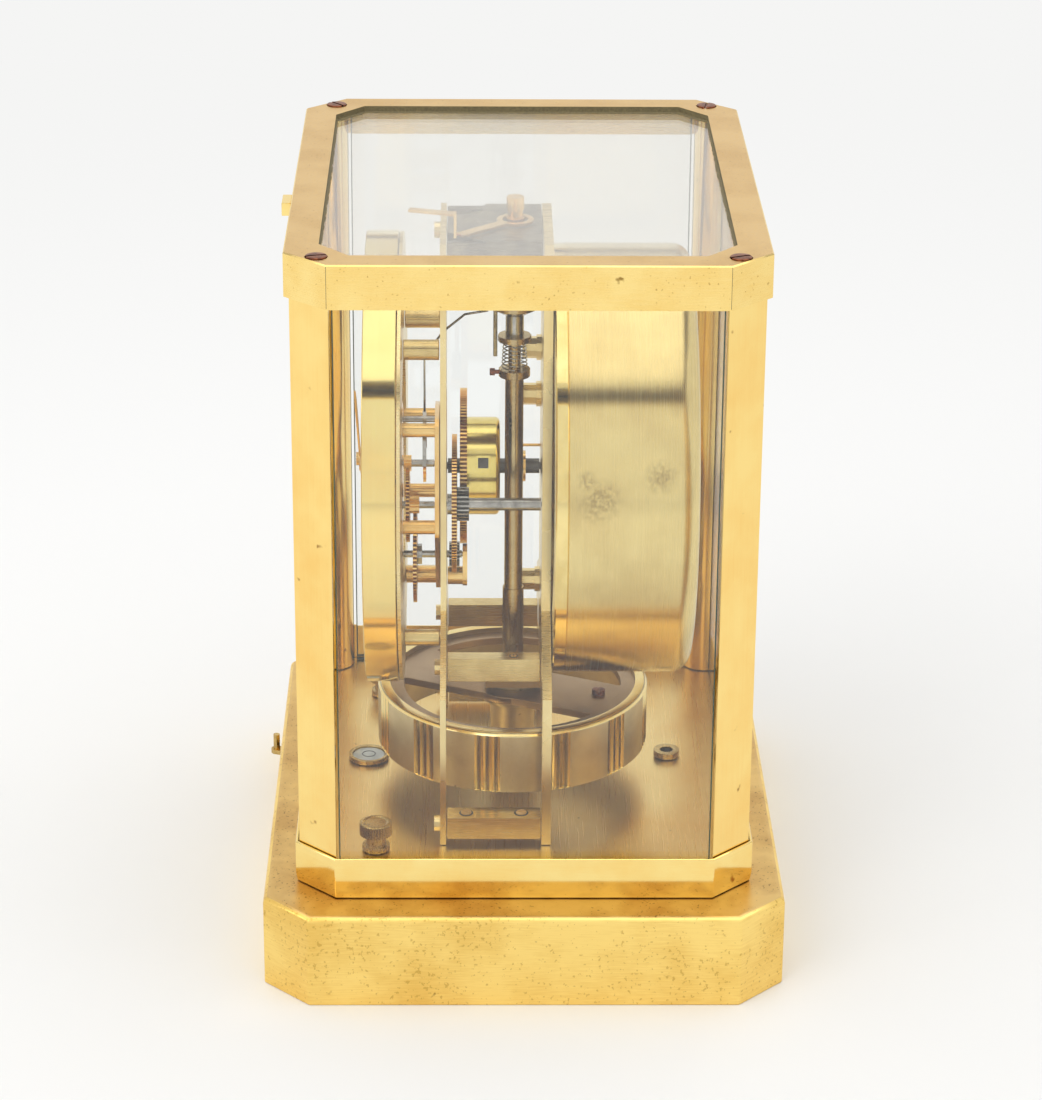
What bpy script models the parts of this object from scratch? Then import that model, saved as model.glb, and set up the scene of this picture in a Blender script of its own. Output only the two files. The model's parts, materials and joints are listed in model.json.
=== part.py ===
# Atmospheric clock in a glazed brass case, metres, +Z up, dial facing -Y.
# The origin lies at the centre of the base's underside.

import math
from collections import namedtuple

import bmesh
import bpy
from mathutils import Matrix, Vector

# Fits that every piece shares
seat_gap = 0.0003
running_gap = 0.0003
overrun = 0.0010
weld_distance = 0.000002
weld_overlap = 0.0004

# Facets of a full turn
fine_steps = 48
medium_steps = 24
small_steps = 12
hole_steps = 10

# Case: the octagon over the four corner posts drives the frames, the panes and the base
case_width = 0.1821
case_depth = 0.1425
post_cut_x = 0.01175
post_cut_y = 0.01219
post_land = 0.0028
post_bulge = 0.0035
pane_thickness = 0.0025
pane_side_gap = 0.0009

base_ledge_x = 0.01395
base_ledge_y = 0.01125
base_cut = 0.0147
base_height = 0.0309
base_wall = 0.0020
base_edge_radius = 0.0025
bottom_plate_thickness = 0.0015
floor_thickness = 0.0010

lower_frame_height = 0.0138
lower_frame_wall = 0.0009
lower_frame_foot_rise = 0.0028
lower_frame_foot_inset = 0.0005
frame_edge = 0.0004

top_frame_drop = 0.0138
top_frame_wall = 0.00115
top_plate_thickness = 0.0020
window_rail_x = 0.0097
window_rail_y = 0.01035
window_cut_x = 0.0110
window_cut_y = 0.0092

# Movement: everything between the plates follows the pendulum's axis and the front plate
pendulum_y = -0.0030
tube_to_front_plate = 0.0219
front_plate_thickness = 0.0019
back_plate_thickness = 0.0030
plate_spacing = 0.0308

# The dial's radius sets the movement's heights, which count from the floor plate's top
dial_radius = 0.0726
dial_floor_gap = 0.0396
plate_over_dial = 0.0054
bridge_proud = 0.0005
nut_height = 0.0085
top_pane_clearance = 0.0038
dial_z = dial_floor_gap + dial_radius
plate_top = dial_z + dial_radius + plate_over_dial
bridge_top = plate_top + bridge_proud
nut_cap_top = bridge_top + nut_height

# Heights of the case's pieces, from the base up; the posts are as long as the movement needs
floor_top = base_height + seat_gap + floor_thickness
post_bottom = floor_top + seat_gap
post_top = floor_top + nut_cap_top + top_pane_clearance + pane_thickness
plate_underside = post_top + seat_gap
case_top = plate_underside + top_plate_thickness
lower_frame_bottom = base_height + seat_gap
lower_frame_top = lower_frame_bottom + lower_frame_height
top_frame_bottom = case_top - top_frame_drop
top_pane_top = post_top
top_pane_bottom = top_pane_top - pane_thickness
pane_top = top_pane_bottom - seat_gap

# Depths of the plates, from the dial's side to the back
front_plate_rear = pendulum_y - tube_to_front_plate
front_plate_front = front_plate_rear - front_plate_thickness
back_plate_front = front_plate_rear + plate_spacing
back_plate_rear = back_plate_front + back_plate_thickness

Octagon = namedtuple("Octagon", "half_x half_y cut_x cut_y")
corner_share = 2 - math.sqrt(2)


def clear_scene():
    for obj in list(bpy.data.objects):
        bpy.data.objects.remove(obj)


def new_collection(name):
    collection = bpy.data.collections.new(name)
    bpy.context.scene.collection.children.link(collection)
    return collection


clear_scene()
clock = new_collection("atmospheric_clock")
cutters = new_collection("cutters")


# Materials

def finish(name, colour, roughness, metallic):
    """A plain surface: colour is linear RGB."""
    found = bpy.data.materials.get(name)
    if found:
        return found
    made = bpy.data.materials.new(name)
    made.use_nodes = True
    surface = made.node_tree.nodes["Principled BSDF"]
    surface.inputs["Base Color"].default_value = (*colour, 1)
    surface.inputs["Roughness"].default_value = roughness
    surface.inputs["Metallic"].default_value = metallic
    made.diffuse_color = (*colour, 1)
    return made


def polished_brass():
    return finish("polished_brass", (0.93, 0.68, 0.26), 0.12, 1)


def satin_brass():
    return finish("satin_brass", (0.80, 0.58, 0.24), 0.38, 1)


def brushed_brass():
    return finish("brushed_brass", (0.78, 0.60, 0.30), 0.30, 1)


def plate_brass():
    return finish("plate_brass", (0.86, 0.70, 0.38), 0.20, 1)


def wheel_brass():
    return finish("wheel_brass", (0.72, 0.44, 0.18), 0.25, 1)


def pendulum_brass():
    return finish("pendulum_brass", (0.60, 0.41, 0.21), 0.32, 1)


def tube_bronze():
    return finish("tube_bronze", (0.30, 0.22, 0.12), 0.30, 1)


def steel():
    return finish("steel", (0.40, 0.38, 0.35), 0.25, 1)


def copper_screw():
    return finish("copper_screw", (0.30, 0.13, 0.07), 0.35, 1)


def clear_glass():
    made = finish("clear_glass", (0.90, 0.94, 0.92), 0.02, 0)
    made.node_tree.nodes["Principled BSDF"].inputs["Transmission Weight"].default_value = 1
    return made


def level_glass():
    return finish("level_glass", (0.62, 0.66, 0.62), 0.10, 0)


# Shape helpers

def as_object(name, mesh):
    obj = bpy.data.objects.new(name, mesh)
    clock.objects.link(obj)
    return obj


def from_bmesh(name, bm):
    bmesh.ops.remove_doubles(bm, verts=bm.verts, dist=weld_distance)
    bmesh.ops.recalc_face_normals(bm, faces=bm.faces)
    mesh = bpy.data.meshes.new(name)
    bm.to_mesh(mesh)
    bm.free()
    return as_object(name, mesh)


def bake(obj):
    """Puts the evaluated shape in place of the mesh and its modifiers."""
    bpy.context.view_layer.update()
    graph = bpy.context.evaluated_depsgraph_get()
    mesh = bpy.data.meshes.new_from_object(obj.evaluated_get(graph))
    obj.modifiers.clear()
    obj.data = mesh
    return obj


def box(name, low, high):
    bm = bmesh.new()
    bmesh.ops.create_cube(bm, size=1)
    size = Vector(high) - Vector(low)
    middle = (Vector(high) + Vector(low)) / 2
    bmesh.ops.scale(bm, vec=size, verts=bm.verts)
    bmesh.ops.translate(bm, vec=middle, verts=bm.verts)
    return from_bmesh(name, bm)


def turned(name, profile, steps, closed=False):
    """A profile of (radius, height) points, outer side first from top to bottom, turned about Z."""
    mesh = bpy.data.meshes.new(name)
    points = [(radius, 0, height) for radius, height in profile]
    edges = [(i, i + 1) for i in range(len(points) - 1)]
    if closed:
        edges.append((len(points) - 1, 0))
    mesh.from_pydata(points, edges, [])
    obj = as_object(name, mesh)
    screw = obj.modifiers.new("turn", "SCREW")
    screw.steps = steps
    screw.render_steps = steps
    screw.use_merge_vertices = True
    screw.merge_threshold = weld_distance
    bake(obj)
    bm = bmesh.new()
    bm.from_mesh(obj.data)
    bmesh.ops.remove_doubles(bm, verts=bm.verts, dist=weld_distance)
    bmesh.ops.recalc_face_normals(bm, faces=bm.faces)
    bm.to_mesh(obj.data)
    bm.free()
    return obj


def rod(name, radius, low, high, steps):
    return turned(name, [(0, high), (radius, high), (radius, low), (0, low)], steps)


def tube(name, outer, inner, low, high, steps):
    profile = [(outer, high), (outer, low), (inner, low), (inner, high)]
    return turned(name, profile, steps, closed=True)


def flat(name, loops, low, high):
    """A flat outline, with any holes after it, filled and extruded along Z from low to high."""
    curve = bpy.data.curves.new(name, "CURVE")
    curve.dimensions = "2D"
    curve.fill_mode = "BOTH"
    curve.extrude = (high - low) / 2
    for loop in loops:
        spline = curve.splines.new("POLY")
        spline.points.add(len(loop) - 1)
        for point, (x, y) in zip(spline.points, loop):
            point.co = (x, y, 0, 1)
        spline.use_cyclic_u = True
    drawn = as_object(name + "_outline", curve)
    bpy.context.view_layer.update()
    graph = bpy.context.evaluated_depsgraph_get()
    mesh = bpy.data.meshes.new_from_object(drawn.evaluated_get(graph))
    bpy.data.objects.remove(drawn)
    mesh.name = name
    bm = bmesh.new()
    bm.from_mesh(mesh)
    bmesh.ops.translate(bm, vec=(0, 0, (high + low) / 2), verts=bm.verts)
    return from_bmesh(name, bm)


def wire(name, route, radius, resolution):
    """A round wire with filled ends along the route's points."""
    curve = bpy.data.curves.new(name, "CURVE")
    curve.dimensions = "3D"
    curve.bevel_depth = radius
    curve.bevel_resolution = resolution
    curve.use_fill_caps = True
    spline = curve.splines.new("POLY")
    spline.points.add(len(route) - 1)
    for point, place in zip(spline.points, route):
        point.co = (*place, 1)
    drawn = as_object(name + "_route", curve)
    bpy.context.view_layer.update()
    graph = bpy.context.evaluated_depsgraph_get()
    mesh = bpy.data.meshes.new_from_object(drawn.evaluated_get(graph))
    bpy.data.objects.remove(drawn)
    bm = bmesh.new()
    bm.from_mesh(mesh)
    return from_bmesh(name, bm)


def loft(name, loops, ring=False):
    """Skins closed loops of equal point counts, capped at both ends or joined into a ring."""
    bm = bmesh.new()
    rows = [[bm.verts.new(point) for point in loop] for loop in loops]
    count = len(rows[0])
    pairs = list(zip(rows, rows[1:]))
    if ring:
        pairs.append((rows[-1], rows[0]))
    for first, second in pairs:
        for i in range(count):
            j = (i + 1) % count
            bm.faces.new((first[i], first[j], second[j], second[i]))
    if not ring:
        bm.faces.new(rows[0])
        bm.faces.new(reversed(rows[-1]))
    return from_bmesh(name, bm)


def combine(obj, other, operation):
    modifier = obj.modifiers.new(operation.lower(), "BOOLEAN")
    modifier.operation = operation
    modifier.object = other
    bake(obj)
    bpy.data.objects.remove(other)
    return obj


def cut(obj, cutter):
    clock.objects.unlink(cutter)
    cutters.objects.link(cutter)
    cutter.hide_render = True
    cutter.display_type = "WIRE"
    return combine(obj, cutter, "DIFFERENCE")


def join(obj, *others):
    for other in others:
        combine(obj, other, "UNION")
    return obj


def shift(obj, x=0, y=0, z=0):
    """Moves the shape inside its object."""
    obj.data.transform(Matrix.Translation((x, y, z)))
    return obj


def spin(obj, angle):
    obj.data.transform(Matrix.Rotation(angle, 4, "Z"))
    return obj


def along_y(obj, place=(0, 0, 0)):
    """Lays the shape's Z along world +Y, with its own X and -Y as world X and Z."""
    obj.location = place
    obj.rotation_euler = (-math.pi / 2, 0, 0)
    bpy.context.view_layer.update()
    return obj


def finished(obj, name, look):
    obj.name = name
    obj.data.name = name
    obj.data.materials.clear()
    obj.data.materials.append(look)
    obj.data.shade_smooth()
    obj.data.set_sharp_from_angle(angle=math.radians(30))
    return obj


# Outline helpers

def octagon(outline, height):
    """The eight corners of a chamfered rectangle, anticlockwise, at this height."""
    x, y = outline.half_x, outline.half_y
    inner_x, inner_y = x - outline.cut_x, y - outline.cut_y
    corners = [
        (x, -inner_y), (x, inner_y), (inner_x, y), (-inner_x, y),
        (-x, inner_y), (-x, -inner_y), (-inner_x, -y), (inner_x, -y),
    ]
    return [(*corner, height) for corner in corners]


def grown(outline, by):
    cut_change = by * corner_share
    return Octagon(
        outline.half_x + by, outline.half_y + by,
        outline.cut_x + cut_change, outline.cut_y + cut_change,
    )


def circle(radius, steps, x=0, y=0):
    turns = [2 * math.pi * i / steps for i in range(steps)]
    return [(x + radius * math.cos(t), y + radius * math.sin(t)) for t in turns]


def arc_between(start, end, bulge, steps):
    """Points of the arc from start to end, ends included, bulging to the left by bulge."""
    a, b = Vector(start), Vector(end)
    chord = b - a
    side = math.copysign(1, bulge)
    radius = (chord.length ** 2 / 4 + bulge ** 2) / (2 * abs(bulge))
    left = Vector((-chord.y, chord.x)).normalized()
    centre = (a + b) / 2 + left * (bulge - side * radius)
    first = math.atan2(a.y - centre.y, a.x - centre.x)
    half = math.asin(min(1, chord.length / 2 / radius))
    if abs(bulge) > chord.length / 2:
        half = math.pi - half
    angles = [first - side * 2 * half * i / steps for i in range(steps + 1)]
    return [(centre.x + radius * math.cos(t), centre.y + radius * math.sin(t)) for t in angles]


def wrapped(circles, steps=hole_steps):
    """The outline of a band drawn tight round circles given as (x, y, radius)."""
    points = sorted({p for x, y, radius in circles for p in circle(radius, steps, x, y)})

    def half(row):
        kept = []
        for point in row:
            while len(kept) > 1 and turn_of(kept[-2], kept[-1], point) <= 0:
                kept.pop()
            kept.append(point)
        return kept[:-1]

    return half(points) + half(points[::-1])


def turn_of(a, b, c):
    return (b[0] - a[0]) * (c[1] - a[1]) - (b[1] - a[1]) * (c[0] - a[0])


def down(points):
    """World (x, z) points as an outline for a shape that along_y lays down."""
    return [(x, -z) for x, z in points]


tooth_height_share = 0.40
tooth_depth_share = 0.80
tooth_tip_share = 0.10


def toothed(teeth, pitch_radius, phase_share=0, pointed=False):
    """A wheel's outline, two or three points a tooth; a phase share of 0 puts a tooth on +X."""
    module = 2 * pitch_radius / teeth
    tip = pitch_radius + module * tooth_height_share
    root = pitch_radius - module * tooth_depth_share
    shape = ((-tooth_tip_share, tip), (tooth_tip_share, tip), (0.5, root))
    if pointed:
        shape = ((0, tip), (0.5, root))
    points = []
    for tooth in range(teeth):
        for share, radius in shape:
            turn = 2 * math.pi * (tooth + share + phase_share) / teeth
            points.append((radius * math.cos(turn), radius * math.sin(turn)))
    return points


def knurled(ribs, radius, depth):
    points = []
    for i in range(2 * ribs):
        turn = math.pi * i / ribs
        reach = radius - depth * (i % 2)
        points.append((reach * math.cos(turn), reach * math.sin(turn)))
    return points


# Case outlines

post_outline = Octagon(case_width / 2, case_depth / 2, post_cut_x, post_cut_y)
base_outline = Octagon(
    post_outline.half_x + base_ledge_x, post_outline.half_y + base_ledge_y, base_cut, base_cut
)
lower_frame_inner = grown(post_outline, seat_gap)
lower_frame_outer = grown(lower_frame_inner, lower_frame_wall)
top_frame_inner = grown(post_outline, seat_gap)
top_frame_outer = grown(top_frame_inner, top_frame_wall)
window_outline = Octagon(
    top_frame_outer.half_x - window_rail_x, top_frame_outer.half_y - window_rail_y,
    window_cut_x, window_cut_y,
)

# Screws that hold the top frame down on the posts
screw_inset_x = 0.00685
screw_inset_y = 0.00865
screw_x = post_outline.half_x - screw_inset_x
screw_y = post_outline.half_y - screw_inset_y
screw_head_radius = 0.00325
screw_head_height = 0.0014
screw_head_proud = 0.0005
screw_shank_radius = 0.0015
screw_length = 0.0080
screw_slot_width = 0.0008
screw_slot_depth = 0.0007

# Levelling screws, rear foot and spirit level on the floor plate
levelling_inset_x = 0.03155
levelling_inset_y = 0.02375
levelling_x = post_outline.half_x - levelling_inset_x
levelling_y = levelling_inset_y - post_outline.half_y
levelling_head_radius = 0.0053
levelling_head_height = 0.0045
levelling_neck_height = 0.0034
levelling_neck_radius = 0.0032
levelling_collar_radius = 0.0044
levelling_collar_height = 0.0018
levelling_shank_radius = 0.0020
levelling_rib_count = 18
knurl_depth = 0.0003
foot_radius = 0.0050
foot_height = 0.0026
rear_foot_x = -0.0098
rear_foot_inset_y = 0.02155
rear_foot_y = post_outline.half_y - rear_foot_inset_y
rear_foot_rim_radius = 0.0044
rear_foot_rim_height = 0.0022
rear_foot_body_radius = 0.0032
rear_foot_bore_radius = 0.0021
level_x = -0.0079
level_inset_y = 0.01965
level_y = level_inset_y - post_outline.half_y
level_radius = 0.0068
level_height = 0.0016
level_rim = 0.0013
level_recess = 0.0005

# Lock lever under the base's top, its pin standing in front of the base
lever_pivot_x = -0.0350
lever_pivot_inset_y = 0.0375
lever_pivot_y = lever_pivot_inset_y - base_outline.half_y
lever_pin_x = -0.0490
lever_pin_reach = 0.0031
lever_pin_y = -base_outline.half_y - lever_pin_reach
lever_bottom = 0.0140
lever_thickness = 0.0016
lever_width = 0.0040
lever_pin_radius = 0.00115
lever_pin_height = 0.0070
lever_boss_radius = 0.0045
lever_boss_step = 0.0004
lever_stud_radius = 0.0024
lever_swing = math.radians(38)
lever_slot_gap = 0.0010


def base_shell():
    top_loops = []
    for step in range(4):
        turn = math.pi / 2 * step / 3
        inset = base_edge_radius * (1 - math.cos(turn))
        height = base_height - base_edge_radius * (1 - math.sin(turn))
        top_loops.append(octagon(grown(base_outline, -inset), height))
    inner = grown(base_outline, -base_wall)
    ceiling = base_height - base_wall
    loops = top_loops[::-1] + [octagon(base_outline, 0), octagon(inner, 0), octagon(inner, ceiling)]
    shell = loft("base_shell", loops)
    for side in (-1, 1):
        hole = rod("levelling_hole", levelling_shank_radius + running_gap,
                   ceiling - overrun, base_height + overrun, hole_steps)
        cut(shell, shift(hole, side * levelling_x, levelling_y))
    hole = rod("rear_foot_hole", rear_foot_body_radius + seat_gap,
               ceiling - overrun, base_height + overrun, hole_steps)
    cut(shell, shift(hole, rear_foot_x, rear_foot_y))
    cut(shell, lever_slot())
    return finished(shell, "base_shell", satin_brass())


def lever_slot():
    """The slot in the base's front wall, as wide as the lever's swing needs there."""
    wall_middle = -base_outline.half_y + base_wall / 2
    share = (wall_middle - lever_pivot_y) / (lever_pin_y - lever_pivot_y)
    start = lever_pivot_x + (lever_pin_x - lever_pivot_x) * share
    reach = math.hypot(start - lever_pivot_x, wall_middle - lever_pivot_y)
    first = math.asin((start - lever_pivot_x) / reach)
    end = lever_pivot_x + reach * math.sin(first + lever_swing)
    side = lever_width / 2 / math.cos(first) + lever_slot_gap
    low = (start - side, -base_outline.half_y - overrun, lever_bottom - lever_slot_gap)
    high = (end + side, -base_outline.half_y + base_wall + overrun,
            lever_bottom + lever_thickness + lever_slot_gap)
    return box("lever_slot", low, high)


def base_bottom_plate():
    outline = grown(base_outline, -base_wall - seat_gap)
    loops = [[corner[:2] for corner in octagon(outline, 0)]]
    for side in (-1, 1):
        loops.append(circle(foot_radius + running_gap, small_steps, side * levelling_x, levelling_y))
    loops.append(circle(foot_radius + seat_gap, small_steps, rear_foot_x, rear_foot_y))
    plate = flat("base_bottom_plate", loops, 0, bottom_plate_thickness)
    return finished(plate, "base_bottom_plate", satin_brass())


def floor_plate():
    bottom = base_height + seat_gap
    loops = [[corner[:2] for corner in octagon(post_outline, 0)]]
    for side in (-1, 1):
        radius = levelling_shank_radius + running_gap
        loops.append(circle(radius, hole_steps, side * levelling_x, levelling_y))
    loops.append(circle(rear_foot_body_radius + seat_gap, hole_steps, rear_foot_x, rear_foot_y))
    plate = flat("floor_plate", loops, bottom, bottom + floor_thickness)
    return finished(plate, "floor_plate", brushed_brass())


def levelling_screw(name, side):
    """Knurled head over the floor plate, shank through the base, round foot level with its underside."""
    collar_bottom = floor_top + running_gap
    collar_top = collar_bottom + levelling_collar_height
    head_bottom = collar_top + levelling_neck_height
    foot_bottom = seat_gap
    foot_top = foot_bottom + foot_height
    profile = [
        (0, head_bottom + knurl_depth), (levelling_neck_radius, head_bottom + knurl_depth),
        (levelling_neck_radius, collar_top), (levelling_collar_radius, collar_top),
        (levelling_collar_radius, collar_bottom), (levelling_shank_radius, collar_bottom),
        (levelling_shank_radius, foot_top), (foot_radius, foot_top),
        (foot_radius, foot_bottom), (0, foot_bottom),
    ]
    shank = turned("shank", profile, small_steps)
    ribs = knurled(levelling_rib_count, levelling_head_radius, knurl_depth)
    head = flat("head", [ribs], head_bottom, head_bottom + levelling_head_height)
    screw = join(shank, head)
    screw.location = (side * levelling_x, levelling_y, 0)
    return finished(screw, name, tube_bronze())


def rear_foot():
    """A fixed hollow foot: rim on the floor plate, body through the base, flange at the underside."""
    rim_bottom = floor_top + seat_gap
    rim_top = rim_bottom + rear_foot_rim_height
    foot_bottom = seat_gap
    foot_top = foot_bottom + foot_height
    profile = [
        (rear_foot_rim_radius, rim_top), (rear_foot_rim_radius, rim_bottom),
        (rear_foot_body_radius, rim_bottom), (rear_foot_body_radius, foot_top),
        (foot_radius, foot_top), (foot_radius, foot_bottom),
        (rear_foot_bore_radius, foot_bottom), (rear_foot_bore_radius, rim_top),
    ]
    foot = turned("rear_foot", profile, small_steps, closed=True)
    shift(foot, rear_foot_x, rear_foot_y)
    return finished(foot, "rear_foot", tube_bronze())


def spirit_level():
    bottom = floor_top + seat_gap
    top = bottom + level_height
    profile = [
        (0, top - level_recess), (level_radius - level_rim, top - level_recess),
        (level_radius - level_rim, top), (level_radius, top), (level_radius, bottom), (0, bottom),
    ]
    level = shift(turned("spirit_level", profile, medium_steps), level_x, level_y)
    return finished(level, "spirit_level", level_glass())


def lock_lever():
    """Its origin is on the pivot, whose stud reaches up to the base's top."""
    pin = (lever_pin_x - lever_pivot_x, lever_pin_y - lever_pivot_y)
    top = lever_bottom + lever_thickness
    narrow = wrapped([(0, 0, lever_width / 2), (*pin, lever_width / 2)])
    arm = flat("arm", [narrow], lever_bottom, top)
    middle = (lever_bottom + top) / 2
    eye = rod("eye", lever_boss_radius, lever_bottom - lever_boss_step, top + lever_boss_step,
              small_steps)
    stud = rod("stud", lever_stud_radius, middle, base_height - base_wall - seat_gap, hole_steps)
    post = rod("post", lever_pin_radius, middle, lever_bottom + lever_pin_height, hole_steps)
    lever = join(arm, eye, stud, shift(post, *pin))
    lever.location = (lever_pivot_x, lever_pivot_y, 0)
    return finished(lever, "lock_lever", tube_bronze())


def lower_frame():
    foot = grown(lower_frame_outer, -lower_frame_foot_inset)
    lip = grown(lower_frame_outer, -frame_edge)
    bottom, top = lower_frame_bottom, lower_frame_top
    loops = [
        octagon(lower_frame_outer, bottom + lower_frame_foot_rise),
        octagon(lower_frame_outer, top - frame_edge), octagon(lip, top),
        octagon(lower_frame_inner, top), octagon(lower_frame_inner, bottom), octagon(foot, bottom),
    ]
    return finished(loft("lower_frame", loops, ring=True), "lower_frame", polished_brass())


def post_corner(side_x, side_y):
    """One post's plan: flat on the chamfer, short lands for the panes, rounded inside."""
    x, y = post_outline.half_x, post_outline.half_y
    side_end = (x, y - post_outline.cut_y)
    front_end = (x - post_outline.cut_x, y)
    side_land = (x - post_land, side_end[1])
    front_land = (front_end[0], y - post_land)
    inside = arc_between(side_land, front_land, post_bulge, 8)
    points = [side_end] + inside + [front_end]
    return [(side_x * px, side_y * py) for px, py in points]


def corner_post(name, side_x, side_y):
    post = flat("post", [post_corner(side_x, side_y)], post_bottom, post_top)
    hole = rod("screw_hole", screw_shank_radius + seat_gap,
               post_top - screw_length, post_top + overrun, hole_steps)
    cut(post, shift(hole, side_x * screw_x, side_y * screw_y))
    return finished(post, name, polished_brass())


# Front door: a pane with a brass rail that lies in a notch of the top frame
door_pane_drop = 0.0070
door_rail_half_width = 0.0400
door_rail_height = 0.0080
door_pull_half_width = 0.0048
door_pull_rise = 0.0018
door_pull_height = 0.0043
door_pull_reach = 0.0043
door_pull_neck = 0.0013
door_pull_neck_inset = 0.0012
door_pane_bottom = lower_frame_top - door_pane_drop
door_pull_bottom = top_frame_bottom + door_pull_rise
pane_x = post_outline.half_x - seat_gap
pane_y = post_outline.half_y - seat_gap
pane_half_width_x = post_outline.half_x - post_outline.cut_x - pane_side_gap
pane_half_width_y = post_outline.half_y - post_outline.cut_y - pane_side_gap


def top_frame():
    lip = grown(top_frame_outer, -frame_edge)
    loops = [
        octagon(top_frame_outer, top_frame_bottom), octagon(top_frame_outer, case_top - frame_edge),
        octagon(lip, case_top), octagon(window_outline, case_top),
        octagon(window_outline, plate_underside), octagon(top_frame_inner, plate_underside),
        octagon(top_frame_inner, top_frame_bottom),
    ]
    frame = loft("top_frame", loops, ring=True)
    rail_top = top_frame_bottom + door_rail_height
    low = (-door_rail_half_width, -top_frame_outer.half_y - overrun, top_frame_bottom - overrun)
    high = (door_rail_half_width, -post_outline.half_y + overrun, rail_top)
    cut(frame, box("door_notch", low, high))
    for side_x in (-1, 1):
        for side_y in (-1, 1):
            place = (side_x * screw_x, side_y * screw_y)
            sink_bottom = case_top + screw_head_proud - screw_head_height - seat_gap
            sink = rod("sink", screw_head_radius + seat_gap, sink_bottom, case_top + overrun,
                       small_steps)
            hole = rod("hole", screw_shank_radius + seat_gap, plate_underside - overrun,
                       case_top + overrun, hole_steps)
            cut(frame, shift(join(sink, hole), *place))
    return finished(frame, "top_frame", satin_brass())


def frame_screw(name, side_x, side_y):
    top = case_top + screw_head_proud
    head_bottom = top - screw_head_height
    end = post_top - screw_length + seat_gap
    profile = [
        (0, top), (screw_head_radius - frame_edge, top), (screw_head_radius, top - frame_edge),
        (screw_head_radius, head_bottom), (screw_shank_radius, head_bottom),
        (screw_shank_radius, end), (0, end),
    ]
    screw = turned("screw", profile, small_steps)
    reach = screw_head_radius + overrun
    low = (-reach, -screw_slot_width / 2, top - screw_slot_depth)
    cut(screw, box("slot", low, (reach, screw_slot_width / 2, top + overrun)))
    shift(screw, side_x * screw_x, side_y * screw_y)
    return finished(screw, name, copper_screw())


def side_glass(name, side):
    near, far = pane_x - pane_thickness, pane_x
    low = (min(side * near, side * far), -pane_half_width_y, post_bottom)
    high = (max(side * near, side * far), pane_half_width_y, pane_top)
    return finished(box(name, low, high), name, clear_glass())


def rear_glass():
    low = (-pane_half_width_x, pane_y - pane_thickness, post_bottom)
    high = (pane_half_width_x, pane_y, pane_top)
    return finished(box("rear_glass", low, high), "rear_glass", clear_glass())


def top_glass():
    post_depth = post_land * post_outline.cut_y / math.hypot(post_outline.cut_x, post_outline.cut_y)
    reach = (post_depth + post_bulge + pane_side_gap) * math.sqrt(2)
    outline = Octagon(pane_x, pane_y, post_outline.cut_x + reach, post_outline.cut_y + reach)
    pane = loft("top_glass", [octagon(outline, top_pane_bottom), octagon(outline, top_pane_top)])
    return finished(pane, "top_glass", clear_glass())


# The door tilts about a line just over the lower frame's front edge
door_axis_y = -post_outline.half_y
door_axis_z = lower_frame_top + seat_gap


def door_glass():
    low = (-pane_half_width_x, -pane_y, door_pane_bottom)
    high = (pane_half_width_x, -pane_y + pane_thickness, pane_top)
    pane = box("door_glass", low, high)
    shift(pane, 0, -door_axis_y, -door_axis_z)
    pane.location = (0, door_axis_y, door_axis_z)
    return finished(pane, "door_glass", clear_glass())


def door_rail():
    front, back = -top_frame_outer.half_y, -pane_y - seat_gap
    half_width = door_rail_half_width - running_gap
    bottom = top_frame_bottom
    rail = box("rail", (-half_width, front, bottom),
               (half_width, back, bottom + door_rail_height - running_gap))
    pull_top = door_pull_bottom + door_pull_height
    inset = door_pull_neck_inset
    neck_half = door_pull_half_width - inset
    neck = box("neck", (-neck_half, front - door_pull_neck - frame_edge, door_pull_bottom + inset),
               (neck_half, front + frame_edge, pull_top - inset))
    pull = box("pull", (-door_pull_half_width, front - door_pull_reach, door_pull_bottom),
               (door_pull_half_width, front - door_pull_neck, pull_top))
    join(rail, neck, pull)
    shift(rail, 0, -door_axis_y, -door_axis_z)
    rail.location = (0, door_axis_y, door_axis_z)
    return finished(rail, "door_rail", polished_brass())


# Movement plates: a narrow body on two spread legs that straddle the pendulum
pendulum_radius = 0.0450
pendulum_side_gap = 0.0032
plate_half_width = 0.0225
shoulder_top = 0.0678
shoulder_bottom = 0.0518
leg_bottom = seat_gap
leg_width = 0.0088
leg_outer_x = pendulum_radius + pendulum_side_gap + leg_width
arch_top = 0.0413
arch_radius = 0.0080

foot_block_width = 0.0077
foot_block_height = 0.0075
foot_block_lift = 0.0018
foot_screw_radius = 0.0016
foot_screw_proud = 0.0004
foot_screw_inset = 0.0062
bridge_block_x = 0.0225
bridge_block_z = 0.0478
bridge_block_width = 0.0060
bridge_block_height = 0.0080

plate_screw_radius = 0.0026
plate_screw_height = 0.0020
top_screw_x = -0.0060
top_screw_drop = 0.0039
top_screw_z = plate_top - top_screw_drop
drum_stud_x = -0.0120
drum_stud_rises = (0.0348, 0.0187, -0.0472)
drum_stud_radius = 0.0036
drum_stud_collar_radius = 0.0042
drum_stud_collar_length = 0.0016
drum_stud_length = 0.0062

# Arbors and toothed wheels: each pair's pitch circles touch, so the places follow from the sizes
barrel_x = -0.0130
barrel_drop = 0.0074
pivot_radius = 0.0008
arbor_radius = 0.0012
great_pitch = 0.0253
second_pitch = 0.0222
third_pitch = 0.0155
fourth_pitch = 0.0118
great_teeth, second_pinion_teeth = 40, 8
second_teeth, third_pinion_teeth = 48, 8
third_teeth, fourth_pinion_teeth = 48, 8
fourth_teeth, escape_pinion_teeth = 40, 8
motion_teeth = 24
hour_teeth, hour_pinion_teeth = 72, 6
second_bearing = math.radians(-3)
third_bearing = math.radians(-119)
fourth_bearing = math.radians(85)
escape_bearing = math.radians(94.5)
pallet_bearing = math.radians(92)

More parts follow.
